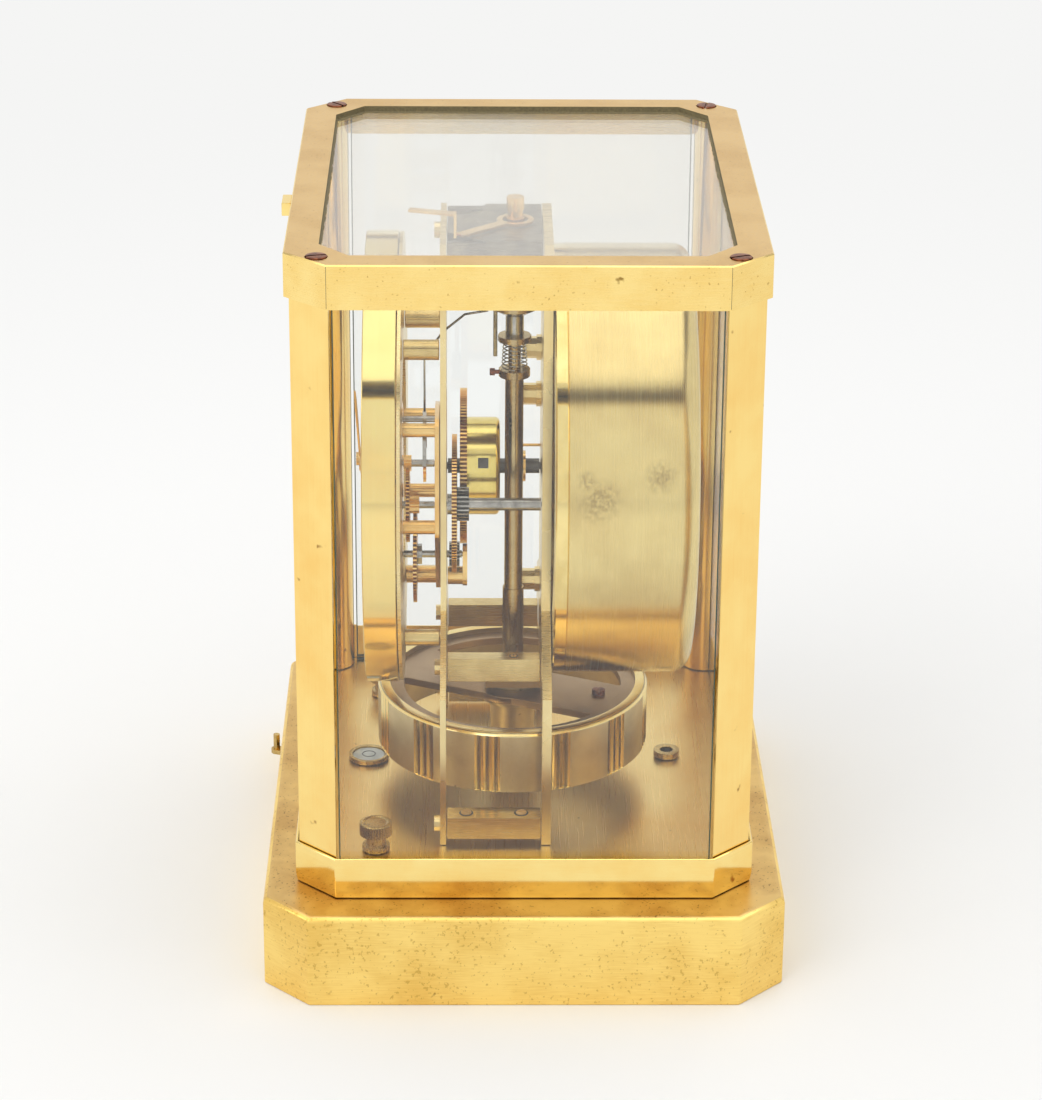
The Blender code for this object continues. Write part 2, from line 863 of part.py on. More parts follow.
Place = namedtuple("Place", "x z")


def pinion_pitch(wheel_pitch, wheel_teeth, teeth):
    return wheel_pitch * teeth / wheel_teeth


def stepped(place, distance, bearing):
    return Place(place.x + distance * math.cos(bearing), place.z + distance * math.sin(bearing))


def bearing_of(start, end):
    return math.atan2(end.z - start.z, end.x - start.x)


def distance_of(start, end):
    return math.hypot(end.x - start.x, end.z - start.z)


second_pinion_pitch = pinion_pitch(great_pitch, great_teeth, second_pinion_teeth)
third_pinion_pitch = pinion_pitch(second_pitch, second_teeth, third_pinion_teeth)
fourth_pinion_pitch = pinion_pitch(third_pitch, third_teeth, fourth_pinion_teeth)
escape_pinion_pitch = pinion_pitch(fourth_pitch, fourth_teeth, escape_pinion_teeth)

barrel_place = Place(barrel_x, dial_z - barrel_drop)
second_place = stepped(barrel_place, great_pitch + second_pinion_pitch, second_bearing)
third_place = stepped(second_place, second_pitch + third_pinion_pitch, third_bearing)
fourth_place = stepped(third_place, third_pitch + fourth_pinion_pitch, fourth_bearing)
escape_place = stepped(fourth_place, fourth_pitch + escape_pinion_pitch, escape_bearing)

# Depths of the wheels behind the front plate
plate_clearance = 0.0018
second_width = 0.0016
stack_gap = 0.0009
great_width = 0.0023
barrel_length = 0.0108
second_pinion_width = 0.0039
third_pinion_gap = 0.0008
third_pinion_width = 0.0034
second_front = front_plate_rear + plate_clearance
second_rear = second_front + second_width
great_front = second_rear + stack_gap
great_rear = great_front + great_width
barrel_rear = great_rear + barrel_length
third_pinion_front = front_plate_rear + third_pinion_gap
third_pinion_rear = third_pinion_front + third_pinion_width

# The small plates in front of the front plate, and what turns between them
sub_plate_rear_thickness = 0.0015
sub_plate_front_thickness = 0.0010
sub_plate_spacing = 0.0107
sub_plate_edge = 0.0045
sub_pillar_radius = 0.0023
sub_rear_back = front_plate_front - seat_gap
sub_rear_front = sub_rear_back - sub_plate_rear_thickness
sub_front_back = sub_rear_front - sub_plate_spacing
sub_front_front = sub_front_back - sub_plate_front_thickness
sub_pillar_offsets = ((0.0175, 0.0165), (-0.0085, 0.0121), (0.0220, -0.0152), (-0.0110, -0.0154))
sub_pillars = [Place(x, dial_z + rise) for x, rise in sub_pillar_offsets]
dial_post_side = 0.0142
dial_post_drop = 0.0132
dial_post_radius = 0.0029

# Dial and hands
dial_depth = 0.0105
dial_wall = 0.0020
dial_inner_radius = 0.0470
dial_inner_depth = 0.0042
dial_face_thickness = 0.0014
dial_face_recess = 0.0008
dial_backing_inner = 0.0380
dial_backing_thickness = 0.0011
dial_backing_inset = 0.0004
dial_pillar_length = 0.0114
upper_pillar_inset = 0.0079
upper_pillar_bearing = math.radians(69.9)
upper_pillar_radius = 0.0033
lower_pillar_inset = 0.0142
lower_pillar_bearing = math.radians(-62.5)
lower_pillar_radius = 0.0027
marker_length_share = 0.5
marker_width = 0.0022
marker_height = 0.0006
marker_length = (dial_radius - dial_wall - dial_inner_radius) * marker_length_share
marker_radius = (dial_radius - dial_wall + dial_inner_radius) / 2
dial_place = Place(0, dial_z)
upper_pillar_place = stepped(dial_place, dial_backing_inner + upper_pillar_inset, upper_pillar_bearing)
lower_pillar_place = stepped(dial_place, dial_radius - lower_pillar_inset, lower_pillar_bearing)
dial_backing_rear = front_plate_front - seat_gap - dial_pillar_length - seat_gap
dial_backing_front = dial_backing_rear - dial_backing_thickness
dial_rear = dial_backing_front - seat_gap
dial_front = dial_rear - dial_depth
motion_pitch = distance_of(fourth_place, dial_place) / 2
hour_pinion_pitch = distance_of(fourth_place, dial_place) * hour_pinion_teeth / (
    hour_pinion_teeth + hour_teeth)
hour_pitch = pinion_pitch(hour_pinion_pitch, hour_pinion_teeth, hour_teeth)
pallet_distance = 0.0150
pallet_place = stepped(escape_place, pallet_distance, pallet_bearing)
fork_hole_rise = 0.0301
fork_hole_radius = 0.0030


def plate_outline():
    leg_inner = leg_outer_x - leg_width
    arch = arc_between((leg_inner, arch_top - arch_radius), (leg_inner - arch_radius, arch_top),
                       -arch_radius * (1 - math.sqrt(0.5)), 4)
    right = [
        (plate_half_width, plate_top), (plate_half_width, shoulder_top),
        (leg_outer_x, shoulder_bottom), (leg_outer_x, leg_bottom), (leg_inner, leg_bottom),
    ] + arch
    left = [(-x, z) for x, z in reversed(right)]
    return right + left


def pivot_hole(place, radius=pivot_radius):
    return circle(radius + running_gap, hole_steps, place.x, place.z)


def boss(place, radius, low, high, steps=hole_steps):
    """A round boss along Y for joining to a plate."""
    return along_y(rod("boss", radius, low, high, steps), (place.x, 0, place.z))


def front_plate():
    fork_hole = Place(pallet_place.x, pallet_place.z + fork_hole_rise)
    loops = [
        plate_outline(), pivot_hole(barrel_place, arbor_radius), pivot_hole(second_place),
        pivot_hole(third_place, arbor_radius), pivot_hole(fork_hole, fork_hole_radius),
    ]
    plate = flat("plate", [down(loop) for loop in loops], front_plate_front, front_plate_rear)
    along_y(plate)
    screws = [Place(top_screw_x, top_screw_z)]
    for side in (-1, 1):
        screws.append(Place(side * bridge_block_x, bridge_block_z))
        screws.append(Place(side * (leg_outer_x - leg_width / 2), foot_block_middle()))
    for place in screws:
        join(plate, boss(place, plate_screw_radius, front_plate_front - plate_screw_height,
                         front_plate_front + weld_overlap))
    return finished(plate, "front_plate", plate_brass())


def back_plate():
    chain_hole = Place(barrel_place.x - chain_offset(), barrel_place.z + chain_rise)
    loops = [
        plate_outline(), pivot_hole(barrel_place, arbor_radius), pivot_hole(second_place),
        pivot_hole(chain_hole, chain_radius + chain_hole_gap),
    ]
    plate = flat("plate", [down(loop) for loop in loops], back_plate_front, back_plate_rear)
    along_y(plate)
    for rise in drum_stud_rises:
        stud = stepped_arbor("stud", back_plate_front - drum_stud_length, [
            (drum_stud_radius, back_plate_front - drum_stud_collar_length),
            (drum_stud_collar_radius, back_plate_front + weld_overlap),
        ])
        join(plate, along_y(stud, (drum_stud_x, 0, drum_z + rise)))
    return finished(plate, "back_plate", plate_brass())


def foot_block_bottom():
    return leg_bottom + foot_block_lift


def foot_block_middle():
    return foot_block_bottom() + foot_block_height / 2


def between_plates():
    return front_plate_rear + seat_gap, back_plate_front - seat_gap


def foot_block(name, side):
    front, back = between_plates()
    half = foot_block_width / 2
    middle = side * (leg_outer_x - leg_width / 2)
    bottom = foot_block_bottom()
    top = bottom + foot_block_height
    block = box(name, (middle - half, front, bottom), (middle + half, back, top))
    for y in (front + foot_screw_inset, back - foot_screw_inset):
        head = rod("head", foot_screw_radius, top - weld_overlap, top + foot_screw_proud, hole_steps)
        join(block, shift(head, middle, y))
    return finished(block, name, plate_brass())


def bridge_block(name, side):
    front, back = between_plates()
    middle = side * bridge_block_x
    low = (middle - bridge_block_width / 2, front, bridge_block_z - bridge_block_height / 2)
    high = (middle + bridge_block_width / 2, back, bridge_block_z + bridge_block_height / 2)
    return finished(box(name, low, high), name, plate_brass())


# Dial

def turned_round_y(name, profile, place, steps, closed=False):
    """A turned shape about an axis along Y; the profile's heights are world Y."""
    return along_y(turned(name, profile, steps, closed), (place.x, 0, place.z))


def dial_ring():
    """A chapter ring with a deep outer rim, open behind, and twelve raised hour markers."""
    face = dial_front + dial_face_recess
    face_back = face + dial_face_thickness
    profile = [
        (dial_radius, dial_rear), (dial_radius, dial_front + frame_edge),
        (dial_radius - frame_edge, dial_front), (dial_radius - dial_wall, dial_front),
        (dial_radius - dial_wall, face), (dial_inner_radius, face),
        (dial_inner_radius, dial_front + dial_inner_depth),
        (dial_inner_radius + dial_face_thickness, dial_front + dial_inner_depth),
        (dial_inner_radius + dial_face_thickness, face_back),
        (dial_radius - dial_wall, face_back), (dial_radius - dial_wall, dial_rear),
    ]
    ring = turned_round_y("dial_ring", profile, dial_place, fine_steps, closed=True)
    for hour in range(12):
        half_length, half_width = marker_length / 2, marker_width / 2
        marker = box("marker", (marker_radius - half_length, -half_width, face - marker_height),
                     (marker_radius + half_length, half_width, face + weld_overlap))
        join(ring, along_y(spin(marker, math.pi / 6 * hour), (dial_place.x, 0, dial_place.z)))
    return finished(ring, "dial_ring", polished_brass())


def dial_backing():
    outer = dial_radius - dial_backing_inset
    backing = tube("dial_backing", outer, dial_backing_inner, dial_backing_front,
                   dial_backing_rear, fine_steps)
    along_y(backing, (dial_place.x, 0, dial_place.z))
    return finished(backing, "dial_backing", plate_brass())


def dial_pillar(name, x, z, radius):
    back = front_plate_front - seat_gap
    pillar = rod(name, radius, back - dial_pillar_length, back, small_steps)
    return finished(along_y(pillar, (x, 0, z)), name, plate_brass())


# Hands and motion work in front of the small plates
motion_gap = 0.0010
motion_width = 0.0010
hour_wheel_gap = 0.0007
pipe_radius = 0.0024
hour_hand_lift = 0.0007
hand_thickness = 0.0006
hand_spacing = 0.0008
hour_hand_length = 0.0400
minute_hand_length = 0.0590
hand_tail = 0.0120
hand_hub_radius = 0.0040
hand_width_share, hand_tip_share, hand_shoulder_share = 0.060, 0.35, 0.80
hand_cap_radius = 0.0022
hand_cap_height = 0.0010
motion_rear = sub_front_front - motion_gap
motion_front = motion_rear - motion_width
hour_wheel_rear = motion_front - hour_wheel_gap
hour_wheel_front = hour_wheel_rear - motion_width
hour_hand_rear = dial_front - hour_hand_lift
hour_hand_front = hour_hand_rear - hand_thickness
minute_hand_rear = hour_hand_front - hand_spacing
minute_hand_front = minute_hand_rear - hand_thickness


def gear(name, teeth, pitch_radius, tooth_at, low, high, holes=(), pointed=False):
    """A toothed disc about Y with a tooth on the world bearing tooth_at, about its own centre."""
    outline = toothed(teeth, pitch_radius, tooth_at * teeth / (2 * math.pi), pointed)
    loops = [outline, *holes]
    return flat(name, [down(loop) for loop in loops], low, high)


def gap_at(bearing, teeth):
    """The tooth bearing that puts a gap on this bearing."""
    return bearing + math.pi / teeth


def crossings(count, inner, outer, spoke):
    """Window outlines between a wheel's hub and rim, leaving straight-sided spokes this wide."""
    windows = []
    for i in range(count):
        middle = 2 * math.pi * (i + 0.5) / count
        window = []
        for radius, direction in ((inner, 1), (outer, -1)):
            half = math.pi / count - math.asin(spoke / 2 / radius)
            for share in (-1, 0, 1):
                turn = middle + direction * share * half
                window.append((radius * math.cos(turn), radius * math.sin(turn)))
        windows.append(window)
    return windows


def stepped_arbor(name, front, stations, steps=hole_steps):
    """A turned arbor along Y from front to back; stations are (radius, back end)."""
    profile = [(0, front)]
    start = front
    for radius, end in stations:
        profile += [(radius, start), (radius, end)]
        start = end
    profile.append((0, start))
    return turned(name, profile[::-1], steps)


def hand(name, length, low, high, turn):
    """A tapered hand with a round hub, its tip towards world +Z before the turn."""
    wide = length * hand_width_share / 2
    narrow = wide * hand_tip_share
    shoulder = length * hand_shoulder_share
    outline = [
        (-narrow, -hand_tail), (narrow, -hand_tail), (narrow, 0), (wide, shoulder), (0, length),
        (-wide, shoulder), (-narrow, 0),
    ]
    blade = flat(name, [down(outline)], low, high)
    hub = rod("hub", hand_hub_radius, low, high, small_steps)
    return spin(join(blade, hub), turn)


hour_turn_share = 10.0 / 12 + 8.0 / 60 / 12
minute_turn_share = 8.0 / 60


def hour_hand():
    bearing = bearing_of(dial_place, fourth_place)
    bore = arbor_radius + running_gap
    wheel = gear("wheel", hour_teeth, hour_pitch, bearing, hour_wheel_front, hour_wheel_rear,
                 pointed=True)
    pipe = rod("pipe", pipe_radius, hour_hand_front, hour_wheel_rear, small_steps)
    pointer = hand("pointer", hour_hand_length, hour_hand_front, hour_hand_rear,
                   2 * math.pi * hour_turn_share)
    join(pipe, wheel, pointer)
    cut(pipe, rod("bore", bore, hour_hand_front - overrun, hour_wheel_rear + overrun, hole_steps))
    return finished(along_y(pipe, (dial_place.x, 0, dial_place.z)), "hour_hand", wheel_brass())


def minute_hand():
    bearing = bearing_of(dial_place, fourth_place)
    wheel = gear("wheel", motion_teeth, motion_pitch, gap_at(bearing, motion_teeth),
                 motion_front, motion_rear, pointed=True)
    end = minute_hand_front - hand_cap_height
    arbor = stepped_arbor("arbor", end, [
        (hand_cap_radius, minute_hand_front + weld_overlap),
        (arbor_radius, sub_front_back + running_gap),
    ], small_steps)
    pointer = hand("pointer", minute_hand_length, minute_hand_front, minute_hand_rear,
                   2 * math.pi * minute_turn_share)
    join(arbor, wheel, pointer)
    return finished(along_y(arbor, (dial_place.x, 0, dial_place.z)), "minute_hand", wheel_brass())


# Small plates

def sub_places():
    return [third_place, escape_place, pallet_place, dial_place, fourth_place, *sub_pillars]


def dial_post_place():
    return Place(third_place.x - dial_post_side, third_place.z - dial_post_drop)


def sub_plate_front():
    circles = [(place.x, place.z, sub_plate_edge) for place in sub_places()]
    loops = [wrapped(circles)] + [
        pivot_hole(third_place), pivot_hole(fourth_place, arbor_radius), pivot_hole(escape_place),
        pivot_hole(pallet_place), pivot_hole(dial_place, arbor_radius),
    ]
    plate = flat("plate", [down(loop) for loop in loops], sub_front_front, sub_front_back)
    return finished(along_y(plate), "sub_plate_front", wheel_brass())


def sub_plate_rear():
    """The rear small plate with its pillars riveted in, and the post that meets the dial."""
    post = dial_post_place()
    circles = [(place.x, place.z, sub_plate_edge) for place in [*sub_places(), post]]
    loops = [wrapped(circles)] + [
        pivot_hole(third_place, arbor_radius), pivot_hole(fourth_place), pivot_hole(escape_place),
        pivot_hole(pallet_place, arbor_radius),
    ]
    plate = flat("plate", [down(loop) for loop in loops], sub_rear_front, sub_rear_back)
    along_y(plate)
    for place in sub_pillars:
        join(plate, boss(place, sub_pillar_radius, sub_front_back + seat_gap,
                         sub_rear_front + weld_overlap, small_steps))
    join(plate, boss(post, dial_post_radius, dial_backing_rear + seat_gap,
                     sub_rear_front + weld_overlap, small_steps))
    return finished(plate, "sub_plate_rear", wheel_brass())


# Going train

winding_arbor_radius = 0.0025
barrel_radius = 0.0162
barrel_wall = 0.0012
mainspring_turn_count = 3
mainspring_strip = 0.0006
mainspring_gap = 0.0010
pulley_radius = 0.0042
pulley_rim_radius = 0.0052
pulley_front = -0.0024
pulley_rim_width = 0.0009
pulley_width = 0.0034
ratchet_teeth = 12
ratchet_radius = 0.0070
ratchet_depth = 0.0009
ratchet_width = 0.0012
chain_radius = 0.0005
chain_hole_gap = 0.0007
chain_bend = 0.0010
chain_rise = pulley_radius + seat_gap + chain_radius
chain_end = 0.0255

intermediate_arbor_radius = 0.0021
hub_radius = 0.0034
hub_length = 0.0016
wheel_rim_share = 0.84
spoke_count = 5
spoke_width = 0.0024
third_wheel_front = -0.0358
wheel_width = 0.0012
fourth_wheel_front = -0.0381
fourth_pinion_rear = -0.0338
escape_wheel_front = -0.0325
escape_wheel_width = 0.0010
escape_radius = 0.0062
escape_depth = 0.0017
escape_teeth = 12
escape_pinion_front = -0.0388
escape_pinion_rear = -0.0363
cock_post_radius = 0.0030
cock_edge_radius = 0.0034
cock_post_drop = 0.0076
cock_front_gap = 0.0010
cock_thickness = 0.0015

pallet_front = -0.0326
pallet_thickness = 0.0012
pallet_hub_radius = 0.0022
pallet_arbor_radius = 0.0010
pallet_tip_x = 0.0076
pallet_tip_z = 0.0128
pallet_arm = 0.0016
pallet_shoulder_z = 0.0030
fork_wire_radius = 0.0004
fork_wire_start = 0.0020
fork_wire_bend = 0.0215
fork_wire_crest = 0.0358
fork_wire_crest_y = -0.0190
fork_wire_end_rise = 0.0371
fork_wire_end = -0.0116


def chain_offset():
    return pulley_rim_radius + chain_bend


def mainspring():
    """A flat coiled strip from the arbor out to the barrel's wall."""
    start = winding_arbor_radius - mainspring_strip / 2
    end = barrel_radius - barrel_wall - mainspring_gap - mainspring_strip
    steps = mainspring_turn_count * small_steps
    inner, outer = [], []
    for i in range(steps + 1):
        turn = 2 * math.pi * i / small_steps
        radius = start + (end - start) * i / steps
        inner.append((radius * math.cos(turn), radius * math.sin(turn)))
        reach = radius + mainspring_strip
        outer.append((reach * math.cos(turn), reach * math.sin(turn)))
    low = great_rear + mainspring_gap
    high = barrel_rear - barrel_wall - mainspring_gap
    return flat("strip", [inner + outer[::-1]], low, high)


def mainspring_barrel():
    """A hollow drum behind the great wheel, open round the winding arbor."""
    bore = winding_arbor_radius + running_gap
    inside = barrel_radius - barrel_wall
    start = great_rear - weld_overlap
    profile = [
        (barrel_radius, barrel_rear), (barrel_radius, start), (inside, start),
        (inside, barrel_rear - barrel_wall), (bore, barrel_rear - barrel_wall), (bore, barrel_rear),
    ]
    drum = turned("drum", profile, medium_steps, closed=True)
    tooth = bearing_of(barrel_place, second_place)
    wheel = gear("wheel", great_teeth, great_pitch, tooth, great_front, great_rear,
                 [circle(bore, small_steps)])
    join(drum, wheel)
    return finished(along_y(drum, (barrel_place.x, 0, barrel_place.z)),
                    "mainspring_barrel", wheel_brass())


def ratchet_outline(teeth, radius, depth):
    points = []
    for tooth in range(teeth):
        for share, reach in ((0, radius), (0.16, radius), (0.99, radius - depth)):
            turn = 2 * math.pi * (tooth + share) / teeth
            points.append((reach * math.cos(turn), reach * math.sin(turn)))
    return points


def winding_arbor():
    """The arbor that the chain winds, with its pulley, ratchet wheel and the mainspring on it."""
    pulley_rear = pulley_front + pulley_width
    arbor = stepped_arbor("arbor", front_plate_front + seat_gap, [
        (arbor_radius, front_plate_rear + running_gap),
        (winding_arbor_radius, pulley_front),
        (pulley_rim_radius, pulley_front + pulley_rim_width),
        (pulley_radius, pulley_rear - pulley_rim_width),
        (pulley_rim_radius, pulley_rear),
        (winding_arbor_radius, back_plate_front - running_gap),
        (arbor_radius, back_plate_rear - seat_gap),
    ], small_steps)
    wheel = flat("wheel", [ratchet_outline(ratchet_teeth, ratchet_radius, ratchet_depth)],
                 pulley_front - ratchet_width, pulley_front + weld_overlap)
    join(arbor, wheel, mainspring())
    return finished(along_y(arbor, (barrel_place.x, 0, barrel_place.z)), "winding_arbor", steel())


def winding_chain():
    """Leaves the pulley's top sideways, bends back and runs through the back plate to the bellows."""
    x, y, z = barrel_place.x, pulley_front + pulley_width / 2, barrel_place.z + chain_rise
    side = x - chain_offset()
    route = [
        (x, y, z), (side + chain_bend, y, z), (side, y + chain_bend, z), (side, chain_end, z),
    ]
    return finished(wire("chain", route, chain_radius, 1), "winding_chain", wheel_brass())


def intermediate_wheel():
    pinion_rear = second_front + second_width + second_pinion_width
    tooth = bearing_of(second_place, third_place)
    gap = gap_at(bearing_of(second_place, barrel_place), second_pinion_teeth)
    arbor = stepped_arbor("arbor", front_plate_front + seat_gap, [
        (pivot_radius, front_plate_rear + running_gap),
        (hub_radius, second_front + weld_overlap),
        (intermediate_arbor_radius, back_plate_front - running_gap),
        (pivot_radius, back_plate_rear - seat_gap),
    ], small_steps)
    windows = crossings(spoke_count, hub_radius + spoke_width, second_pitch * wheel_rim_share, spoke_width)
    wheel = gear("wheel", second_teeth, second_pitch, tooth, second_front, second_rear, windows)
    pinion = gear("pinion", second_pinion_teeth, second_pinion_pitch, gap,
                  second_rear - weld_overlap, pinion_rear)
    join(arbor, wheel, pinion)
    return finished(along_y(arbor, (second_place.x, 0, second_place.z)),
                    "intermediate_wheel", wheel_brass())


def third_wheel():
    """Its pinion lies behind the front plate and its wheel in front of it."""
    cock_front = third_pinion_rear + cock_front_gap
    tooth = bearing_of(third_place, fourth_place)
    gap = gap_at(bearing_of(third_place, second_place), third_pinion_teeth)
    wheel_rear = third_wheel_front + wheel_width
    arbor = stepped_arbor("arbor", sub_front_front + seat_gap, [
        (pivot_radius, sub_front_back + running_gap),
        (arbor_radius, third_wheel_front + weld_overlap),
        (hub_radius, wheel_rear + hub_length),
        (arbor_radius, cock_front - running_gap),
        (pivot_radius, cock_front + cock_thickness - seat_gap),
    ])
    windows = crossings(spoke_count, hub_radius + spoke_width, third_pitch * wheel_rim_share, spoke_width)
    wheel = gear("wheel", third_teeth, third_pitch, tooth, third_wheel_front, wheel_rear, windows)
    pinion = gear("pinion", third_pinion_teeth, third_pinion_pitch, gap,
                  third_pinion_front, third_pinion_rear)
    join(arbor, wheel, pinion)
    return finished(along_y(arbor, (third_place.x, 0, third_place.z)), "third_wheel", wheel_brass())


def fourth_wheel():
    """Carries the pinions of the hands in front of the small plates."""
    dial_bearing = bearing_of(fourth_place, dial_place)
    wheel_rear = fourth_wheel_front + wheel_width
    arbor = stepped_arbor("arbor", motion_front + weld_overlap, [
        (arbor_radius, sub_rear_front - running_gap),
        (pivot_radius, sub_rear_back - seat_gap),
    ])
    windows = crossings(spoke_count, hub_radius + spoke_width, fourth_pitch * wheel_rim_share, spoke_width)
    wheel = gear("wheel", fourth_teeth, fourth_pitch, bearing_of(fourth_place, escape_place),
                 fourth_wheel_front, wheel_rear, windows)
    gap = gap_at(bearing_of(fourth_place, third_place), fourth_pinion_teeth)
    pinion = gear("pinion", fourth_pinion_teeth, fourth_pinion_pitch, gap,
                  wheel_rear - weld_overlap, fourth_pinion_rear)
    minute = gear("minute", motion_teeth, motion_pitch, dial_bearing, motion_front, motion_rear,
                  pointed=True)
    hour = gear("hour", hour_pinion_teeth, hour_pinion_pitch,
                gap_at(dial_bearing, hour_pinion_teeth),
                hour_wheel_front - seat_gap, motion_front + weld_overlap)
    join(arbor, wheel, pinion, minute, hour)
    return finished(along_y(arbor, (fourth_place.x, 0, fourth_place.z)), "fourth_wheel", wheel_brass())


def escape_wheel():
    gap = gap_at(bearing_of(escape_place, fourth_place), escape_pinion_teeth)
    arbor = stepped_arbor("arbor", sub_front_front + seat_gap, [
        (pivot_radius, sub_front_back + running_gap),
        (arbor_radius, sub_rear_front - running_gap),
        (pivot_radius, sub_rear_back - seat_gap),
    ])
    wheel = flat("wheel", [ratchet_outline(escape_teeth, escape_radius, escape_depth)],
                 escape_wheel_front, escape_wheel_front + escape_wheel_width)
    pinion = gear("pinion", escape_pinion_teeth, escape_pinion_pitch, gap,
                  escape_pinion_front, escape_pinion_rear)
    join(arbor, wheel, pinion)
    return finished(along_y(arbor, (escape_place.x, 0, escape_place.z)), "escape_wheel", steel())


def pallet_fork():
    """An anchor over the escape wheel, and the wire it swings beside the pendulum's pin."""
    shoulder = pallet_tip_x + pallet_arm
    anchor = [
        (pallet_tip_x, -pallet_tip_z), (shoulder, -pallet_tip_z), (shoulder, -pallet_shoulder_z),
        (0, pallet_shoulder_z), (-shoulder, -pallet_shoulder_z), (-shoulder, -pallet_tip_z),
        (-pallet_tip_x, -pallet_tip_z), (-pallet_tip_x, -pallet_shoulder_z - pallet_arm),
        (0, -pallet_shoulder_z + pallet_arm), (pallet_tip_x, -pallet_shoulder_z - pallet_arm),
    ]
    low, high = pallet_front, pallet_front + pallet_thickness
    arbor = stepped_arbor("arbor", sub_front_front + seat_gap, [
        (pivot_radius, sub_front_back + running_gap),
        (pallet_arbor_radius, low), (pallet_hub_radius, high),
        (pallet_arbor_radius, sub_rear_back - seat_gap),
    ])
    middle = (low + high) / 2
    route = [
        (0, -fork_wire_start, middle), (0, -fork_wire_bend, middle),
        (0, -fork_hole_rise, (front_plate_front + front_plate_rear) / 2),
        (0, -fork_wire_crest, fork_wire_crest_y), (0, -fork_wire_end_rise, fork_wire_end),
    ]
    fork = wire("fork", route, fork_wire_radius, 1)
    join(arbor, flat("anchor", [down(anchor)], low, high), fork)
    return finished(along_y(arbor, (pallet_place.x, 0, pallet_place.z)), "pallet_fork", steel())


def third_wheel_cock():
    post = Place(third_place.x, third_place.z - cock_post_drop)
    front = third_pinion_rear + cock_front_gap
    outline = wrapped([(post.x, post.z, cock_edge_radius),
                       (third_place.x, third_place.z, cock_edge_radius)])
    arm = flat("arm", [down(outline), down(pivot_hole(third_place))], front, front + cock_thickness)
    along_y(arm)
    join(arm, boss(post, cock_post_radius, front_plate_rear + seat_gap, front + weld_overlap,
                   small_steps))
    return finished(arm, "third_wheel_cock", plate_brass())


# Bellows drum behind the back plate

drum_inset = 0.0036
drum_radius = dial_radius - drum_inset
drum_depth = 0.0460
drum_wall = 0.0015
drum_edge_radius = 0.0060
drum_flange_thickness = 0.0020
drum_dome = 0.0012
drum_drop = 0.0004
drum_z = dial_z - drum_drop
capsule_inset = 0.0090
capsule_radius = drum_radius - capsule_inset
capsule_front = 0.0290
capsule_ridge_count = 4
capsule_ridge_width = 0.0045
capsule_ridge_depth = 0.0045
capsule_wall = 0.0010
capsule_side_wall = 0.0016
capsule_port_radius = 0.0020
bellows_spring_inset = 0.0050
bellows_spring_radius = capsule_radius - bellows_spring_inset
drum_flange_reach = 0.0050
drum_flange_radius = bellows_spring_radius - drum_flange_reach
bellows_spring_wire = 0.0011
bellows_spring_curl_count = 3
bellows_spring_rear = 0.0277
curl_steps = 10
guide_radius = 0.0070
guide_bore_radius = 0.0043
guide_depth = 0.0043
stub_overlap = 0.0020
drum_front = back_plate_rear + seat_gap
drum_rear = drum_front + drum_depth
guide_front = drum_rear - drum_wall - guide_depth
stub_end = guide_front + stub_overlap


def bellows_drum():
    """A closed drum with a rolled rear edge and an open front inside its flange."""
    edge = drum_rear - drum_dome
    outer = [(0, drum_rear)]
    for step in range(4):
        turn = math.pi / 2 * step / 3
        outer.append((drum_radius - drum_edge_radius * (1 - math.sin(turn)),
                      edge - drum_edge_radius * (1 - math.cos(turn))))
    inner_radius = drum_radius - drum_wall
    inner_edge = edge - drum_wall
    corner = drum_edge_radius - drum_wall
    inner = [
        (drum_radius, drum_front), (drum_flange_radius, drum_front),
        (drum_flange_radius, drum_front + drum_flange_thickness),
        (inner_radius, drum_front + drum_flange_thickness),
        (inner_radius, inner_edge - corner), (inner_radius - corner, inner_edge),
        (guide_radius, drum_rear - drum_wall - weld_overlap),
        (guide_radius, guide_front), (guide_bore_radius, guide_front),
        (guide_bore_radius, drum_rear - drum_wall), (0, drum_rear - drum_wall),
    ]
    drum = turned("drum", outer + inner, fine_steps)
    return finished(along_y(drum, (0, 0, drum_z)), "bellows_drum", brushed_brass())


def capsule_side(radius, front, ridge_depth):
    """The ridged side of the capsule, from front to rear."""
    points = []
    for ridge in range(capsule_ridge_count):
        start = front + ridge * capsule_ridge_width
        points.append((radius - ridge_depth, start))
        points.append((radius, start + capsule_ridge_width / 2))
    points.append((radius - ridge_depth, front + capsule_ridge_count * capsule_ridge_width))
    return points


def bellows_capsule():
    """A ridged hollow capsule, its filling port open in front, its stub in the drum's guide."""
    wall = capsule_wall
    outside = capsule_side(capsule_radius, capsule_front, capsule_ridge_depth)
    inside = capsule_side(capsule_radius - capsule_side_wall, capsule_front, capsule_ridge_depth)
    rear = outside[-1][1]
    inside = [(x, min(max(y, capsule_front + wall), rear - wall)) for x, y in inside]
    stub = guide_bore_radius - running_gap
    profile = [(0, stub_end), (stub, stub_end), (stub, rear)] + outside[::-1] + [
        (capsule_port_radius, capsule_front), (capsule_port_radius, capsule_front + wall),
    ] + inside + [(0, rear - wall)]
    capsule = turned("capsule", profile, medium_steps)
    return finished(along_y(capsule, (0, 0, drum_z)), "bellows_capsule", wheel_brass())


def coil(radius, low, high, curls, end):
    """Points of a helix about Z with straight ends this long."""
    steps = curls * curl_steps
    route = []
    for i in range(steps + 1):
        turn = 2 * math.pi * i / curl_steps
        height = low + (high - low) * i / steps
        route.append(Vector((radius * math.cos(turn), radius * math.sin(turn), height)))
    first = route[0] + (route[0] - route[1]).normalized() * end
    last = route[-1] + (route[-1] - route[-2]).normalized() * end
    return [first, *route, last]


